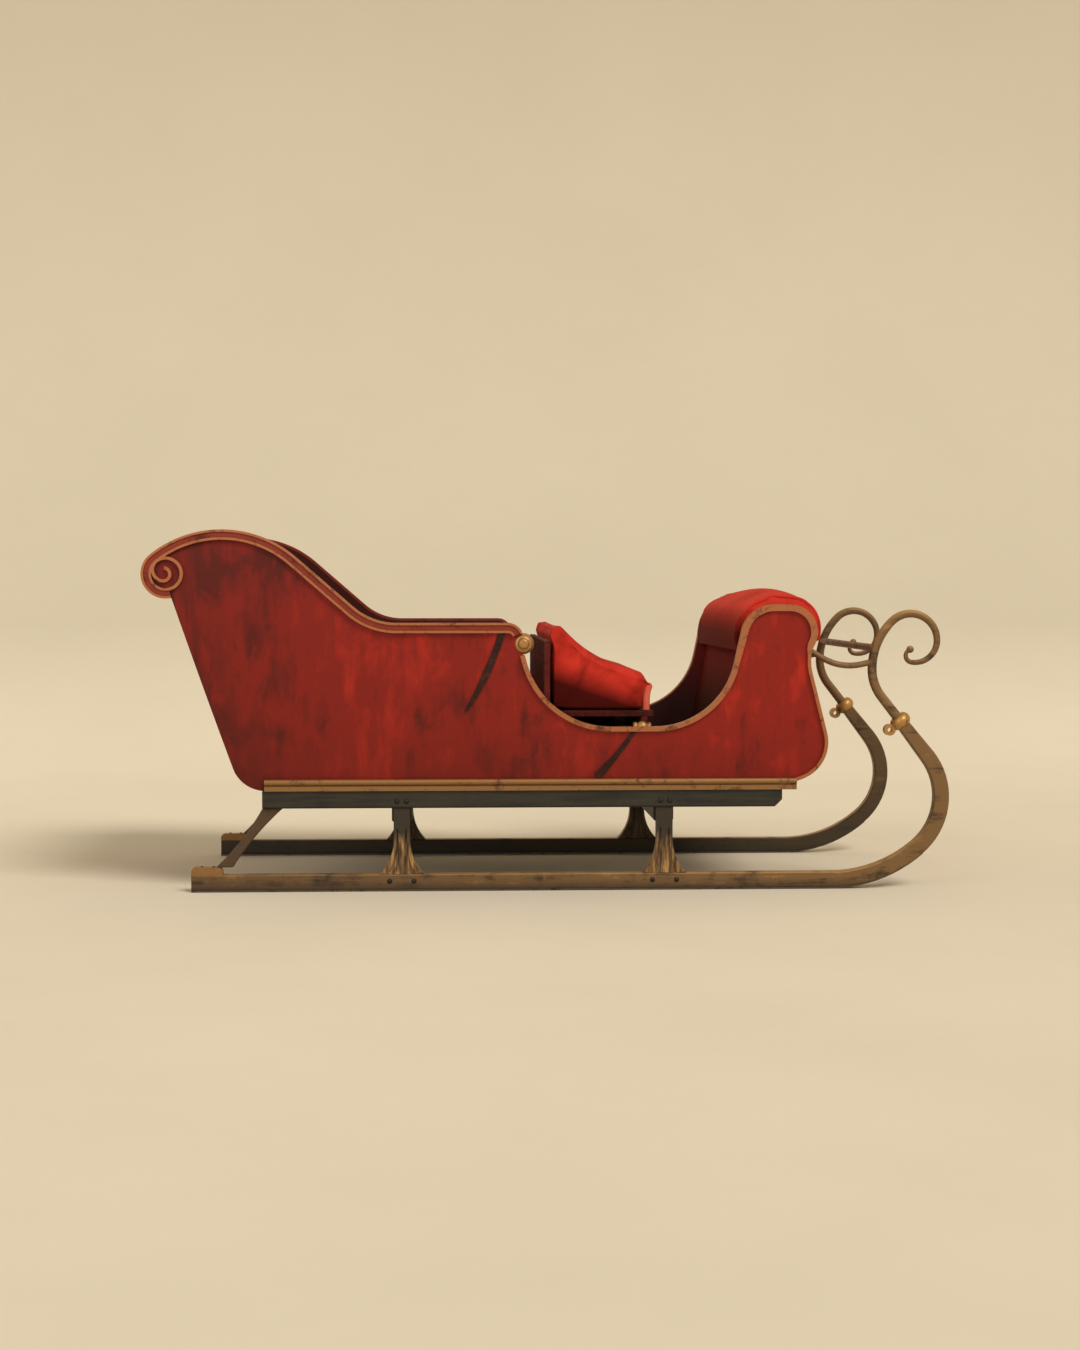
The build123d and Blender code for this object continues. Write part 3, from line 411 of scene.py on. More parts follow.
def timber(name, light, dark, grain_way, rough=0.55, shine=0.35, boards=None):
    """Stained boards with grain along one axis; boards is the pitch of separate planks along X."""
    finish = Finish(name, Specular_IOR_Level=shine)
    stretch = [46.0, 46.0, 46.0]
    stretch["XYZ".index(grain_way)] = 3.2
    grain = finish.noise(1.0, 7, 0.68, stretch=stretch, swirl=0.9)
    stain = finish.noise(7, 6, 0.6, swirl=0.3)
    mixed = finish.weighted((grain, 0.65), (stain, 0.35))
    shade = finish.ramp(mixed, (0.38, dark), (0.54, light), (0.7, shaded(light, 1.35)))
    if boards:
        number = finish.math("FLOOR", finish.math("MULTIPLY", finish.axis("X"), 1.0 / boards))
        chance = finish.add("ShaderNodeTexWhiteNoise", {"noise_dimensions": "1D"}, W=number)
        shade = finish.blend(finish.span(chance.outputs["Value"], 0, 1, 0.0, 0.45), shade, dark)
    finish.set("Base Color", shade)
    finish.set("Roughness", finish.span(mixed, 0.3, 0.7, rough + 0.1, rough - 0.1))
    finish.bump(grain, 0.35, 0.0012)
    return finish.material


def ironwork(name, base, rust):
    """Hand-forged dark iron with a brown bloom."""
    finish = Finish(name, Metallic=0.55)
    bloom = finish.noise(30, 7, 0.7, swirl=0.4)
    hammer = finish.noise(70, 2, 0.5)
    shade = finish.ramp(bloom, (0.38, shaded(base, 0.55)), (0.54, base), (0.7, rust))
    finish.set("Base Color", shade)
    finish.set("Roughness", finish.span(bloom, 0.3, 0.7, 0.45, 0.65))
    finish.bump(finish.math("ADD", hammer, bloom), 0.25, 0.0015)
    return finish.material


def plush(name, base, deep, shadow=None):
    """Short-piled plush with a soft sheen.

    A shadow is two heights between which it darkens, and how steeply they fall towards the front.
    """
    finish = Finish(name, Roughness=0.92, Sheen_Weight=0.12, Sheen_Roughness=0.5, Specular_IOR_Level=0.08)
    finish.surface.inputs["Sheen Tint"].default_value = (1.0, 0.22, 0.14, 1)
    nap = finish.noise(6.5, 6, 0.62, swirl=0.9)
    pile = finish.noise(650, 3, 0.7)
    lay = finish.weighted((nap, 0.85), (pile, 0.15))
    shade = finish.ramp(lay, (0.3, deep), (0.52, base), (0.68, shaded(base, 1.12)))
    if shadow:
        lower, upper, slope = shadow
        height = finish.weighted((finish.axis("Z"), 1.0), (finish.axis("X"), slope))
        shade = finish.blend(finish.span(height, lower, upper, 0.95, 0.0), shade, shaded(deep, 0.14))
    finish.set("Base Color", shade)
    finish.bump(finish.weighted((pile, 0.6), (nap, 1.0)), 0.35, 0.0012)
    return finish.material


def dress(prefix, material, rounding=0.0, segments=2):
    """Gives a finish to every CAD node whose name starts with a prefix, and softens its edges."""
    found = [node for name, node in NODES.items() if name.startswith(prefix)]
    if not found:
        raise RuntimeError(f"no CAD node is named {prefix}")
    for node in found:
        node.data.materials.clear()
        node.data.materials.append(material)
        if rounding:
            weld = node.modifiers.new("joined_faces", "WELD")
            weld.merge_threshold = 1e-5
            bevel = node.modifiers.new("worn_edges", "BEVEL")
            bevel.width = rounding
            bevel.segments = segments
            bevel.limit_method = "ANGLE"
            bevel.angle_limit = math.radians(38)
            bevel.use_clamp_overlap = True
            weighted = node.modifiers.new("even_shading", "WEIGHTED_NORMAL")
            weighted.keep_sharp = False
            weighted.weight = 60


def new_piece(name, mesh, material):
    """A smooth piece of the scene that rides on the sleigh."""
    piece = bpy.data.objects.new(name, mesh)
    bpy.context.scene.collection.objects.link(piece)
    mesh.materials.clear()
    mesh.materials.append(material)
    for polygon in mesh.polygons:
        polygon.use_smooth = True
    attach(piece, "root")
    return piece


def shown_mesh(item):
    """A mesh of what an object shows, with its modifiers."""
    bpy.context.view_layer.update()
    return bpy.data.meshes.new_from_object(item.evaluated_get(bpy.context.evaluated_depsgraph_get()))


def surface_of(item):
    """A tree to find points on an object's own mesh."""
    made = bmesh.new()
    made.from_mesh(item.data)
    tree = BVHTree.FromBMesh(made)
    made.free()
    return tree


def struck(tree, start, way):
    """The point and direction where a line first meets a surface."""
    point, normal, _, _ = tree.ray_cast(Vector(start), Vector(way).normalized())
    if point is None:
        raise RuntimeError(f"no surface is met from {tuple(start)}")
    return point, normal


def stud_heads(name, sites, radius, height, material, rings=4, around=14):
    """Domed heads in one mesh: each site is a point and the way that it faces."""
    profile = [(radius, -0.5 * height), (radius, 0.0)]
    for step in range(1, rings):
        turn = step * math.pi / 2 / rings
        profile.append((radius * math.cos(turn), height * math.sin(turn)))
    angles = [2 * math.pi * k / around for k in range(around)]
    made = bmesh.new()
    for point, way in sites:
        turn = Vector((0, 0, 1)).rotation_difference(Vector(way)).to_matrix().to_4x4()
        place = Matrix.Translation(point) @ turn
        loops = []
        for r, z in profile:
            ring = [Vector((r * math.cos(angle), r * math.sin(angle), z)) for angle in angles]
            loops.append([made.verts.new(place @ corner) for corner in ring])
        top = made.verts.new(place @ Vector((0, 0, height)))
        for low, high in zip(loops, loops[1:]):
            for k in range(around):
                made.faces.new((low[k - 1], low[k], high[k], high[k - 1]))
        for k in range(around):
            made.faces.new((loops[-1][k - 1], loops[-1][k], top))
        made.faces.new(tuple(reversed(loops[0])))
    mesh = bpy.data.meshes.new(name)
    made.to_mesh(mesh)
    made.free()
    return new_piece(name, mesh, material)


def cut_loop(item, point, normal):
    """Points around an object where a plane cuts it, in order, with the surface's directions there."""
    made = bmesh.new()
    made.from_mesh(item.data)
    made.normal_update()
    everything = made.verts[:] + made.edges[:] + made.faces[:]
    cut = bmesh.ops.bisect_plane(made, geom=everything, plane_co=Vector(point), plane_no=Vector(normal))
    made.normal_update()
    edges = [part for part in cut["geom_cut"] if isinstance(part, bmesh.types.BMEdge)]
    beside = {}
    for edge in edges:
        a, b = edge.verts
        beside.setdefault(a, []).append(b)
        beside.setdefault(b, []).append(a)
    loops, left = [], set(beside)
    while left:
        vertex = left.pop()
        loop = [vertex]
        while True:
            onward = [other for other in beside[loop[-1]] if other in left]
            if not onward:
                break
            left.discard(onward[0])
            loop.append(onward[0])
        loops.append([(vertex.co.copy(), vertex.normal.copy()) for vertex in loop])
    made.free()
    return max(loops, key=len)


def longest_run(loop, shown):
    """The longest stretch of a closed loop that is shown, and whether that is all of it."""
    flags = [shown(*spot) for spot in loop]
    if all(flags):
        return loop, True
    first = flags.index(False)
    runs, run = [], []
    for i in range(first, first + len(loop)):
        if flags[i % len(loop)]:
            run.append(loop[i % len(loop)])
        elif run:
            runs.append(run)
            run = []
    return max(runs + [run], key=len), False


WELT_PROUD = 0.35  # share of a cord's radius that its middle stands out of the cover
EDGE_PROUD = 0.2
EDGE_CLEAR = 0.002  # between the ends of an edge cord and what the cushion rests on


def welt(name, cushion, point, normal, radius, material):
    """A sewn cord around a cushion, where a plane cuts it, left out where the cushion rests."""
    loop, closed = longest_run(cut_loop(cushion, point, normal), lambda place, way: way.z > -0.5)
    places = [place + way * radius * WELT_PROUD for place, way in loop]
    return cord(name, places, closed, radius, material)


def edging(name, cushion, spots, radius, material, foot):
    """A sewn cord along a cushion's edge, with both ends down at a foot.

    Each spot is a point inside the cushion and the way out to its edge.
    """
    cover = surface_of(cushion)
    places = []
    for core, way in spots:
        out = Vector(way).normalized()
        place, _ = struck(cover, Vector(core) + out, -out)
        places.append(place + out * radius * EDGE_PROUD)
    ends = [Vector((place.x, place.y, foot + EDGE_CLEAR)) for place in (places[0], places[-1])]
    return cord(name, [ends[0], *places, ends[1]], False, radius, material)


def cord(name, places, closed, radius, material, spacing=0.012):
    """A round cord through points that are thinned to a spacing."""
    knots = [places[0]]
    for place in places[1:]:
        if (place - knots[-1]).length >= spacing:
            knots.append(place)
    curve = bpy.data.curves.new(name, "CURVE")
    curve.dimensions = "3D"
    curve.bevel_depth = radius
    curve.bevel_resolution = 3
    curve.use_fill_caps = True
    spline = curve.splines.new("NURBS")
    spline.points.add(len(knots) - 1)
    for knot, place in zip(spline.points, knots):
        knot.co = (*place, 1)
    spline.use_cyclic_u = closed
    spline.use_endpoint_u = not closed
    spline.order_u = 3
    spline.resolution_u = 2
    path = bpy.data.objects.new(name + "_path", curve)
    bpy.context.scene.collection.objects.link(path)
    mesh = shown_mesh(path)
    bpy.data.objects.remove(path)
    return new_piece(name, mesh, material)


def pattern(node):
    """The shape of a soft CAD node as a closed mesh."""
    made = bmesh.new()
    made.from_mesh(NODES[node].data)
    bmesh.ops.remove_doubles(made, verts=made.verts, dist=1e-5)
    mesh = bpy.data.meshes.new(node + "_pattern")
    made.to_mesh(mesh)
    made.free()
    return mesh


SIM_FRAMES = 20
BUTTON_SPREAD = 0.03  # how wide a buttoned hollow and a crease are
CREASE_SPREAD = 0.012
CREASE_SHARE = 0.36  # depth of a crease against that of a hollow
PRESSED_DEPTH = 0.04  # how deep below the face a cover is still pressed in
COVER_CLEAR = 0.001  # between a cover and the sides and foot of its space
SQUARE = 0.6  # how squarely a side or foot must face outwards to hold the cover in


def kept(piece):
    """Makes what a piece's modifiers show its own mesh."""
    mesh = shown_mesh(piece)
    piece.modifiers.clear()
    piece.data = mesh
    return mesh


def cut_cover(name, node, padding, tight):
    """A slack cover on an even grid inside the space of a soft CAD node, and the limits of that space."""
    piece = bpy.data.objects.new(name, pattern(node))
    bpy.context.scene.collection.objects.link(piece)
    limits = surface_of(piece)
    remesh = piece.modifiers.new("weave", "REMESH")
    remesh.mode = "VOXEL"
    remesh.voxel_size = padding.weave
    slack = piece.modifiers.new("slack", "DISPLACE")
    slack.strength = -tight * padding.slack
    slack.mid_level = 0.0
    ease = piece.modifiers.new("ease", "SMOOTH")
    ease.iterations = 8
    kept(piece)
    return piece, limits


def blow_up(piece, padding, held, tight):
    """Blows a cover up as cloth, no further than its swell, while some of its points are held."""
    start = [vertex.co.copy() for vertex in piece.data.vertices]
    pins = piece.vertex_groups.new(name="held")
    pins.add([i for i, place in enumerate(start) if held(place)], 1.0, "REPLACE")
    cloth = piece.modifiers.new("stuffing", "CLOTH")
    cloth.settings.use_pressure = True
    cloth.settings.uniform_pressure_force = padding.pressure
    cloth.settings.effector_weights.gravity = 0.0
    cloth.settings.vertex_group_mass = "held"
    cloth.settings.quality = 4
    cloth.settings.tension_stiffness = 12
    cloth.settings.compression_stiffness = 12
    cloth.settings.bending_stiffness = 0.4
    cloth.collision_settings.use_collision = False
    cloth.point_cache.frame_start = 1
    cloth.point_cache.frame_end = SIM_FRAMES
    for step in range(1, SIM_FRAMES + 1):
        bpy.context.scene.frame_set(step)
    blown = kept(piece)
    swell = tight * padding.swell
    for vertex, first in zip(blown.vertices, start):
        move = vertex.co - first
        if move.length > swell:
            vertex.co = first + move * (swell / move.length)
    bpy.context.scene.frame_set(1)
    calm = piece.modifiers.new("calm", "SMOOTH")
    calm.iterations = 5
    kept(piece)


def pressed(place, anchor, way, depth, spread):
    """How far a point of the cover is pressed in by a button or crease at an anchor."""
    gap = place - anchor
    out = gap.dot(way)
    if out <= -PRESSED_DEPTH:
        return Vector()
    aside = (gap - way * out).length
    return way * depth * math.exp(-((aside / spread) ** 2))


def nearest_on(place, a, b):
    """The point of the line from a to b that is nearest to a place."""
    along = b - a
    share = min(1.0, max(0.0, (place - a).dot(along) / along.length_squared))
    return a + along * share


def stuffed(name, node, material, padding, held, buttons=(), creases=(), tight=1.0):
    """A cushion in place of a soft CAD node, whose cover is cut slack and blown up as cloth.

    held tells which points stay on what carries them, and buttons are points with the way they face.
    Creases join pairs of buttons, and tight is the share of the slack that the cover has.
    """
    piece, limits = cut_cover(name, node, padding, tight)
    blow_up(piece, padding, held, tight)
    for vertex in piece.data.vertices:
        for anchor, way in buttons:
            vertex.co -= pressed(vertex.co, anchor, way, padding.dimple, BUTTON_SPREAD)
        for (a, way), (b, _) in creases:
            anchor = nearest_on(vertex.co, a, b)
            vertex.co -= pressed(vertex.co, anchor, way, padding.dimple * CREASE_SHARE, CREASE_SPREAD)
        place, normal, _, _ = limits.find_nearest(vertex.co)
        rests = abs(normal.y) > SQUARE or normal.z < -SQUARE or held(place)
        if rests and (vertex.co - place).dot(normal) > -COVER_CLEAR:
            vertex.co = place - normal * COVER_CLEAR
    finer = piece.modifiers.new("finer", "SUBSURF")
    finer.levels = finer.render_levels = 1
    final = shown_mesh(piece)
    bpy.data.objects.remove(piece)
    cushion = new_piece(name, final, material)
    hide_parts(node)
    return cushion


class SLEIGH_OT_paint_body(bpy.types.Operator):
    """Paint the panels and sheets of the body and the boards inside it"""

    bl_idname = "sleigh.paint_body"
    bl_label = "Paint the body"

    def execute(self, context):
        paint = context.scene.sleigh_paint
        dress("side_panel", lacquer("panel_lacquer", paint, lined=True), rounding=0.003)
        sheet_red = lacquer("sheet_lacquer", paint)
        for prefix in ("back_panel", "crest_roll", "dash_panel"):
            dress(prefix, sheet_red, rounding=0.002)
        dress("dash_lining", lined_board("dash_lining_red", paint), rounding=0.002)
        # The planks and the rear riser take the dark lining, which also stands in for the shade under the
        # seats.
        shadow = shaded(paint.lining, 0.45)
        lining = timber("lined_boards", paint.lining, shadow, "Y", rough=0.75, shine=0.1)
        for prefix in ("front_seat_plank", "rear_seat_riser", "rear_seat_plank"):
            dress(prefix, lining, rounding=0.002)
        # A lit copy of the lining: painted light on the bench back and the front riser, which sit in shade.
        lit_lining, darkened = shaded(paint.lining, 1.8), shaded(paint.lining, 0.8)
        bench = timber("lit_bench_boards", lit_lining, darkened, "Y", rough=0.7, shine=0.12)
        for prefix in ("front_seat_back", "front_seat_riser"):
            dress(prefix, bench, rounding=0.002)
        boards = timber("floor_grain", paint.boards, shaded(paint.boards, 0.3), "Y", boards=0.12)
        dress("floor_boards", boards, rounding=0.0012)
        return {"FINISHED"}


class SLEIGH_OT_gild_trim(bpy.types.Operator):
    """Gild the rails, beads, mouldings and turned ends"""

    bl_idname = "sleigh.gild_trim"
    bl_label = "Gild the trim"

    def execute(self, context):
        paint = context.scene.sleigh_paint
        gilt = gilding("bead_gilt", paint.gilt, paint.gilt_dark, metal=0.45)
        dress("arm_beads", gilt, rounding=0.003, segments=3)
        dress("dash_bead", gilt, rounding=0.0048, segments=4)
        sill = gilding("sill_gilt", paint.sill, shaded(paint.gilt_dark, 0.7), metal=0.4, mottle=14)
        dress("sill_moulding", sill)
        dress("tail_cap", sill, rounding=0.002)
        copper = gilding(
            "rail_copper", paint.copper, paint.lacquer_deep, metal=0.15, rough=0.48, mottle=16, shine=0.3
        )
        dress("arm_rail", copper, rounding=0.004, segments=3)
        brass = gilding("turned_brass", paint.brass, paint.gilt_dark, metal=0.55, rough=0.42)
        dress("arm_knob", brass)
        dress("rim_boss", brass)
        bronze = gilding("collar_bronze", paint.bronze_light, paint.bronze_dark, metal=0.6, rough=0.4)
        dress("shaft_collar", bronze)
        return {"FINISHED"}


class SLEIGH_OT_finish_running_gear(bpy.types.Operator):
    """Finish the runners, knees, rails and ironwork under the body"""

    bl_idname = "sleigh.finish_running_gear"
    bl_label = "Finish the running gear"

    def execute(self, context):
        paint = context.scene.sleigh_paint
        bronze = runner_finish("runner_bronze", paint)
        for prefix in ("runner_left", "runner_right", "runner_scroll"):
            dress(prefix, bronze)
        dress("runner_shoe", gilding("shoe_steel", paint.steel, paint.bronze_dark, metal=0.9, rough=0.4))
        dress("knee_", knee_finish("knee_gilt", paint), rounding=0.002)
        deep = shaded(paint.timber_dark, 0.4)
        dress("bed_rail", timber("rail_timber", paint.timber_dark, deep, "X", rough=0.5), rounding=0.0015)
        dress("cross_beam", timber("beam_timber", paint.timber_dark, deep, "Y", rough=0.5), rounding=0.0015)
        dress("side_straps", ironwork("strap_iron", paint.iron, paint.gilt_dark), rounding=0.0015)
        stay = gilding("stay_bronze", paint.bronze, paint.bronze_dark, metal=0.3, rough=0.5, mottle=18)
        dim = shaded(paint.bronze, 0.36)
        dark = gilding("tail_stay_bronze", dim, paint.timber_dark, metal=0.2, rough=0.55, mottle=18)
        dress("rear_stay", dark, rounding=0.004, segments=3)
        dress("cross_rod", stay)
        dress("dash_stay", stay)
        return {"FINISHED"}


class SLEIGH_OT_fit_bolts(bpy.types.Operator):
    """Fit carriage bolts to the rails and runners, and rivets to the straps and tail caps"""

    bl_idname = "sleigh.fit_bolts"
    bl_label = "Fit the bolts"

    def execute(self, context):
        paint = context.scene.sleigh_paint
        sizes = context.scene.sleigh_fastenings
        iron = ironwork("bolt_iron", shaded(paint.timber_dark, 0.7), paint.bronze_dark)
        bolts, rivets = [], []
        for side, way in SIDES:
            inward = Vector((0, -way, 0))
            rail = surface_of(NODES[f"bed_rail_{side}"])
            runner = surface_of(NODES[f"runner_{side}"])
            for x in KNEE_PLACES:
                for shift in (-sizes.rail_spread, sizes.rail_spread):
                    bolts.append(struck(rail, (x + shift, way, sizes.rail_bolt_z), inward))
            for x in KNEE_PLACES:
                for shift in (-sizes.runner_spread, sizes.runner_spread):
                    bolts.append(struck(runner, (x + shift, way, sizes.runner_bolt_z), inward))
            straps = surface_of(NODES[f"side_straps_{side}"])
            for x, z in STRAP_RIVETS:
                rivets.append(struck(straps, (x, way, z), inward))
            cap_name = f"tail_cap_{side}"
            cap = surface_of(NODES[cap_name])
            low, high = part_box(cap_name)
            for x in CAP_RIVETS:
                rivets.append(struck(cap, (x, (low.y + high.y) / 2, 1.0), (0, 0, -1)))
        stud_heads("carriage_bolts", bolts, sizes.bolt_radius, sizes.bolt_height, iron)
        stud_heads(
            "strap_rivets", rivets, sizes.rivet_radius, sizes.rivet_height, iron, around=10
        )
        return {"FINISHED"}


HELD_FOOT = 0.012  # height over a cushion's foot in which its cover is held
HELD_BACK = 0.03  # the same in front of the front cushion's back
FREE_HEAD = 0.06  # height below that cushion's head in which it is free
LIP_HELD = 0.02  # height over the bolster's lip in which its cover is held
EDGE_START = 0.008  # height over the front cover's foot at which its edge is first felt for
# The next two place the painted shade on the cushions' sides.
SEAT_SHADE = (-0.165, -0.09, 0.35)  # heights from the cushion's head, and how steeply they fall
BOLSTER_SHADE = (0.075, 0.17, 0.5)  # heights from the bolster's lip, and how steeply they fall
UPPER_WELT = 0.012  # below the top of the rear seat
LOWER_WELT = 0.016  # above its foot
END_WELT = 0.022  # inside the ends of the bolster
BUTTON_ROWS = ((0.075, 5, 0.0), (0.15, 4, 0.5))  # height over the foot, buttons, and shift in pitches
BUTTON_WAY = (-1, 0, -0.342)  # in which buttons are sewn into the raked back
BUTTON_START = 0.3  # height over a button from which that line comes
BUTTON_PROUD = 0.003  # of its hollow
TACKS = 31


def front_edge(seat, low, high, padding):
    """Points inside the front cushion, with the ways out to its edge from one foot to the other."""
    cover = surface_of(seat)
    x = high.x - padding.edge_set
    y = high.y - padding.edge_set
    foot = low.z + padding.slack + EDGE_START
    top, _ = struck(cover, (x, 0, high.z + 1), (0, 0, -1))
    z = top.z - padding.edge_set
    corner = [((x, y, foot + i * (z - foot) / 5), (1, 1, 0)) for i in range(5)]
    for i in range(9):
        turn = i * math.pi / 16
        corner.append(((x, y, z), (1, math.cos(turn), math.sin(turn))))
    across = [((x, y * (1 - i / 20), z), (1, 0, 1)) for i in range(1, 40)]
    other = [((cx, -cy, cz), (wx, -wy, wz)) for (cx, cy, cz), (wx, wy, wz) in reversed(corner)]
    return corner + across + other


class SLEIGH_OT_sew_front_seat(bpy.types.Operator):
    """Upholster the sloping cushion of the front bench and its rolled edge"""

    bl_idname = "sleigh.sew_front_seat"
    bl_label = "Sew the front seat"

    def execute(self, context):
        padding = context.scene.sleigh_padding
        low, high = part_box("front_seat_cushion")
        # Painted shade on the cushion's sides, falling towards the front.
        lower, upper, slope = SEAT_SHADE
        head = high.z + slope * low.x
        shade = (head + lower, head + upper, slope)
        red = plush("seat_plush", padding.plush_bright, padding.plush_deep, shade)

        def held(place):
            on_back = place.x < low.x + HELD_BACK and place.z < high.z - FREE_HEAD
            return place.z < low.z + HELD_FOOT or on_back

        seat = stuffed("front_seat_pad", "front_seat_cushion", red, padding, held)
        # Pale plush as a painted highlight on the cord along the front edge.
        pale_highlight = plush("edge_plush_highlight", padding.plush_edge_highlight, padding.plush_bright)
        spots = front_edge(seat, low, high, padding)
        edging("front_seat_edge", seat, spots, padding.edge_radius, pale_highlight, low.z)
        return {"FINISHED"}


class SLEIGH_OT_sew_rear_seat(bpy.types.Operator):
    """Upholster the seat and the buttoned back of the rear bench"""

    bl_idname = "sleigh.sew_rear_seat"
    bl_label = "Sew the rear seat"

    def execute(self, context):
        padding = context.scene.sleigh_padding
        sizes = context.scene.sleigh_fastenings
        red = plush("rear_plush", padding.plush, padding.plush_deep)
        bright = plush("welt_plush", padding.plush_bright, padding.plush)
        low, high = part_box("rear_seat_cushion")

        def held(place):
            return place.z < low.z + HELD_FOOT

        seat = stuffed("rear_seat_pad", "rear_seat_cushion", red, padding, held, tight=0.7)
        for name, z in (("upper", high.z - UPPER_WELT), ("lower", low.z + LOWER_WELT)):
            welt(f"rear_seat_welt_{name}", seat, (0, 0, z), (0, 0, 1), padding.welt_radius, bright)

        back = surface_of(NODES["rear_back_cushion"])
        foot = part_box("rear_back_cushion")[0].z
        rows = []
        for rise, count, shift in BUTTON_ROWS:
            places = [(i + shift - 2) * sizes.button_pitch for i in range(count)]
            start = foot + rise + BUTTON_START
            rows.append([struck(back, (0.0, y, start), BUTTON_WAY) for y in places])
        creases = []
        for i, button in enumerate(rows[1]):
            creases += [(rows[0][i], button), (button, rows[0][i + 1])]
        buttons = rows[0] + rows[1]
        stuffed(
            "rear_back_pad",
            "rear_back_cushion",
            red,
            padding,
            held=lambda place: False,
            buttons=buttons,
            creases=creases,
            tight=0.6,
        )
        sunk = padding.dimple - BUTTON_PROUD
        sites = [(place - way * sunk, way) for place, way in buttons]
        stud_heads("back_buttons", sites, sizes.button_radius, sizes.button_height, bright)
        return {"FINISHED"}


class SLEIGH_OT_sew_bolster(bpy.types.Operator):
    """Upholster the bolster along the top of the dash and tack it down"""

    bl_idname = "sleigh.sew_bolster"
    bl_label = "Sew the dash bolster"

    def execute(self, context):
        paint = context.scene.sleigh_paint
        padding = context.scene.sleigh_padding
        sizes = context.scene.sleigh_fastenings
        low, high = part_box("dash_bolster")
        # Painted shade on the bolster's rear side above its lip.
        lower, upper, slope = BOLSTER_SHADE
        lip = low.z + slope * low.x
        red = plush(
            "bolster_plush", padding.plush_bright, padding.plush, (lip + lower, lip + upper, slope)
        )

        def held(place):
            return place.z < low.z + LIP_HELD

        bolster = stuffed("dash_bolster_pad", "dash_bolster", red, padding, held)
        for side, way in SIDES:
            end = (0, way * (high.y - END_WELT), 0)
            welt(f"bolster_welt_{side}", bolster, end, (0, 1, 0), padding.welt_radius, red)
        cover = surface_of(bolster)
        brass = gilding("tack_brass", paint.brass, paint.gilt_dark, metal=0.85, rough=0.32)
        tack_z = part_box("dash_panel")[1].z + sizes.tack_rise
        places = [(i - TACKS // 2) * sizes.tack_pitch for i in range(TACKS)]
        tacks = [struck(cover, (1.0, y, tack_z), (-1, 0, 0)) for y in places]
        stud_heads(
            "bolster_tacks", tacks, sizes.tack_radius, sizes.tack_height, brass, around=10
        )
        return {"FINISHED"}


def lay_sweep(stage):
    """The floor, which curves up into a backdrop behind the sleigh."""
    rows = [(-stage.reach, 0.0), (-8.0, 0.0), (0.0, 0.0), (stage.sweep_start, 0.0)]
    bends = 24
    for step in range(1, bends + 1):
        turn = step / bends * math.pi / 2
        y = stage.sweep_start + stage.sweep_radius * math.sin(turn)
        rows.append((y, stage.sweep_radius * (1 - math.cos(turn))))
    rows.append((stage.sweep_start + stage.sweep_radius, stage.sweep_height))
    made = bmesh.new()
    strips = []
    for y, z in rows:
        strips.append([made.verts.new((x, y, z)) for x in (-stage.reach, stage.reach)])
    for a, b in zip(strips, strips[1:]):
        made.faces.new((a[0], a[1], b[1], b[0]))
    mesh = bpy.data.meshes.new("studio_sweep")
    made.to_mesh(mesh)
    made.free()
    for polygon in mesh.polygons:
        polygon.use_smooth = True
    finish = Finish("studio_plaster", Roughness=0.95, Specular_IOR_Level=0.05)
    tint = finish.blend(finish.span(finish.axis("Z"), 0.0, 0.7), stage.ground, stage.wall)
    cloud = finish.span(finish.noise(0.8, 4, 0.6), 0.3, 0.7, 0.0, 0.12)
    finish.set("Base Color", finish.blend(cloud, tint, shaded(stage.wall, 0.7)))
    mesh.materials.append(finish.material)
    sweep = bpy.data.objects.new("studio_sweep", mesh)
    bpy.context.scene.collection.objects.link(sweep)


def fill_air(stage):
    """Light from all around, and a haze where the view or a reflection goes past the backdrop."""
    world = bpy.data.worlds.new("studio_air")
    bpy.context.scene.world = world
    world.use_nodes = True
    nodes, links = world.node_tree.nodes, world.node_tree.links
    air = nodes["Background"]
    air.inputs["Color"].default_value = (1.0, 0.975, 0.94, 1)
    air.inputs["Strength"].default_value = stage.air
    haze = nodes.new("ShaderNodeBackground")
    haze.inputs["Color"].default_value = (*stage.haze, 1)
    rays = nodes.new("ShaderNodeLightPath")
    either = nodes.new("ShaderNodeMath")
    either.operation = "MAXIMUM"
    links.new(rays.outputs["Is Camera Ray"], either.inputs[0])
    links.new(rays.outputs["Is Glossy Ray"], either.inputs[1])
    seen = nodes.new("ShaderNodeMixShader")
    links.new(either.outputs[0], seen.inputs[0])
    links.new(air.outputs[0], seen.inputs[1])
    links.new(haze.outputs[0], seen.inputs[2])
    links.new(seen.outputs[0], nodes["World Output"].inputs["Surface"])


def hang_lamp(name, place, power, spread, tint):
    """A soft, distant light that shines from a place to the middle; spread is in degrees."""
    lamp = bpy.data.lights.new(name, "SUN")
    lamp.energy = power
    lamp.angle = math.radians(spread)
    lamp.color = tint
    aimed(name, lamp, Vector(place), Vector())


def aimed(name, data, place, target):
    """A lamp or camera that stands at a place and looks at a target."""
    holder = bpy.data.objects.new(name, data)
    holder.location = place
    holder.rotation_euler = (target - place).to_track_quat("-Z", "Y").to_euler()
    bpy.context.scene.collection.objects.link(holder)
    return holder


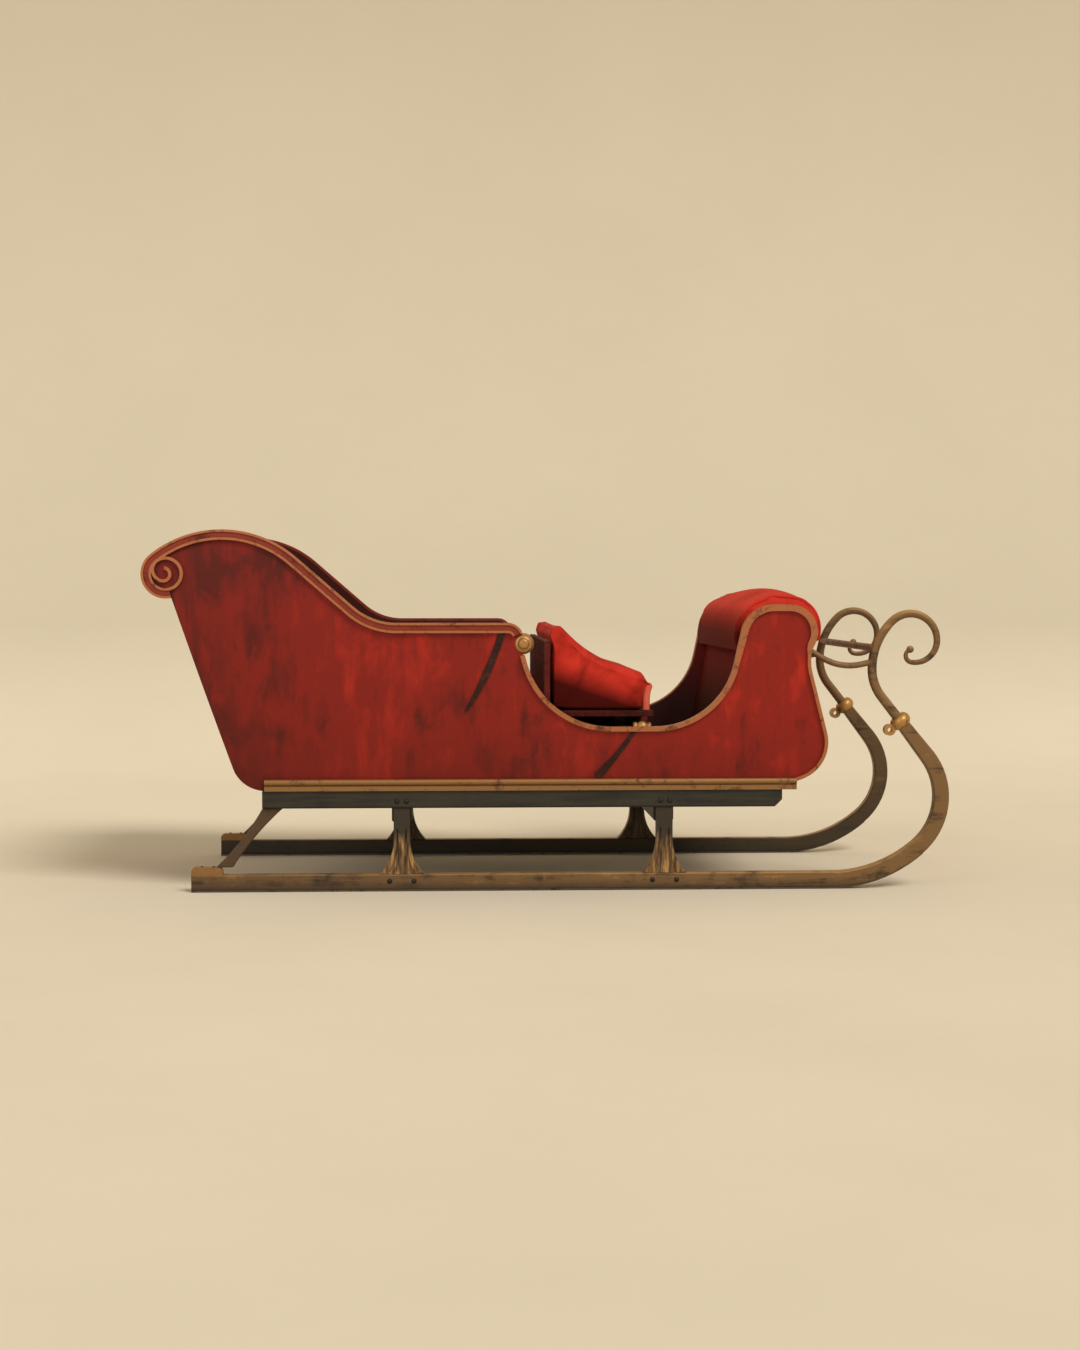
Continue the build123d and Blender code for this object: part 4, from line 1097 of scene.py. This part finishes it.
class SLEIGH_OT_set_stage(bpy.types.Operator):
    """Set the floor, the backdrop, the lights and the camera"""

    bl_idname = "sleigh.set_stage"
    bl_label = "Set the stage"

    def execute(self, context):
        stage = context.scene.sleigh_stage
        lay_sweep(stage)
        fill_air(stage)
        hang_lamp("key", stage.key_from, stage.key, spread=24, tint=(1.0, 0.965, 0.91))
        hang_lamp("fill", stage.fill_from, stage.fill, spread=40, tint=(1.0, 0.98, 0.95))
        camera = bpy.data.cameras.new("camera")
        camera.lens = stage.lens
        camera.sensor_width = 36.0
        scene = context.scene
        scene.camera = aimed("camera", camera, Vector(stage.eye), Vector(stage.target))
        scene.view_settings.view_transform = "Standard"
        return {"FINISHED"}


OPERATORS = (
    SLEIGH_OT_paint_body,
    SLEIGH_OT_gild_trim,
    SLEIGH_OT_finish_running_gear,
    SLEIGH_OT_fit_bolts,
    SLEIGH_OT_sew_front_seat,
    SLEIGH_OT_sew_rear_seat,
    SLEIGH_OT_sew_bolster,
    SLEIGH_OT_set_stage,
)
GROUPS = (
    ("sleigh_paint", SleighPaint),
    ("sleigh_padding", SleighPadding),
    ("sleigh_fastenings", SleighFastenings),
    ("sleigh_stage", SleighStage),
)


class SLEIGH_PT_sidebar(bpy.types.Panel):
    """Steps and settings of the sleigh"""

    bl_idname = "SLEIGH_PT_sidebar"
    bl_label = "Sleigh"
    bl_space_type = "VIEW_3D"
    bl_region_type = "UI"
    bl_category = "Sleigh"

    def draw(self, context):
        for operator in OPERATORS:
            self.layout.operator(operator.bl_idname)
        for name, group in GROUPS:
            box = self.layout.box()
            for key in group.__annotations__:
                box.prop(getattr(context.scene, name), key)


def register():
    for name, group in GROUPS:
        bpy.utils.register_class(group)
        setattr(bpy.types.Scene, name, bpy.props.PointerProperty(type=group))
    for item in (*OPERATORS, SLEIGH_PT_sidebar):
        bpy.utils.register_class(item)


def unregister():
    for item in reversed((*OPERATORS, SLEIGH_PT_sidebar)):
        bpy.utils.unregister_class(item)
    for name, group in reversed(GROUPS):
        delattr(bpy.types.Scene, name)
        bpy.utils.unregister_class(group)


def main():
    register()
    bpy.ops.sleigh.paint_body()
    bpy.ops.sleigh.gild_trim()
    bpy.ops.sleigh.finish_running_gear()
    bpy.ops.sleigh.fit_bolts()
    bpy.ops.sleigh.sew_front_seat()
    bpy.ops.sleigh.sew_rear_seat()
    bpy.ops.sleigh.sew_bolster()
    bpy.ops.sleigh.set_stage()


if __name__ == "__main__":
    main()
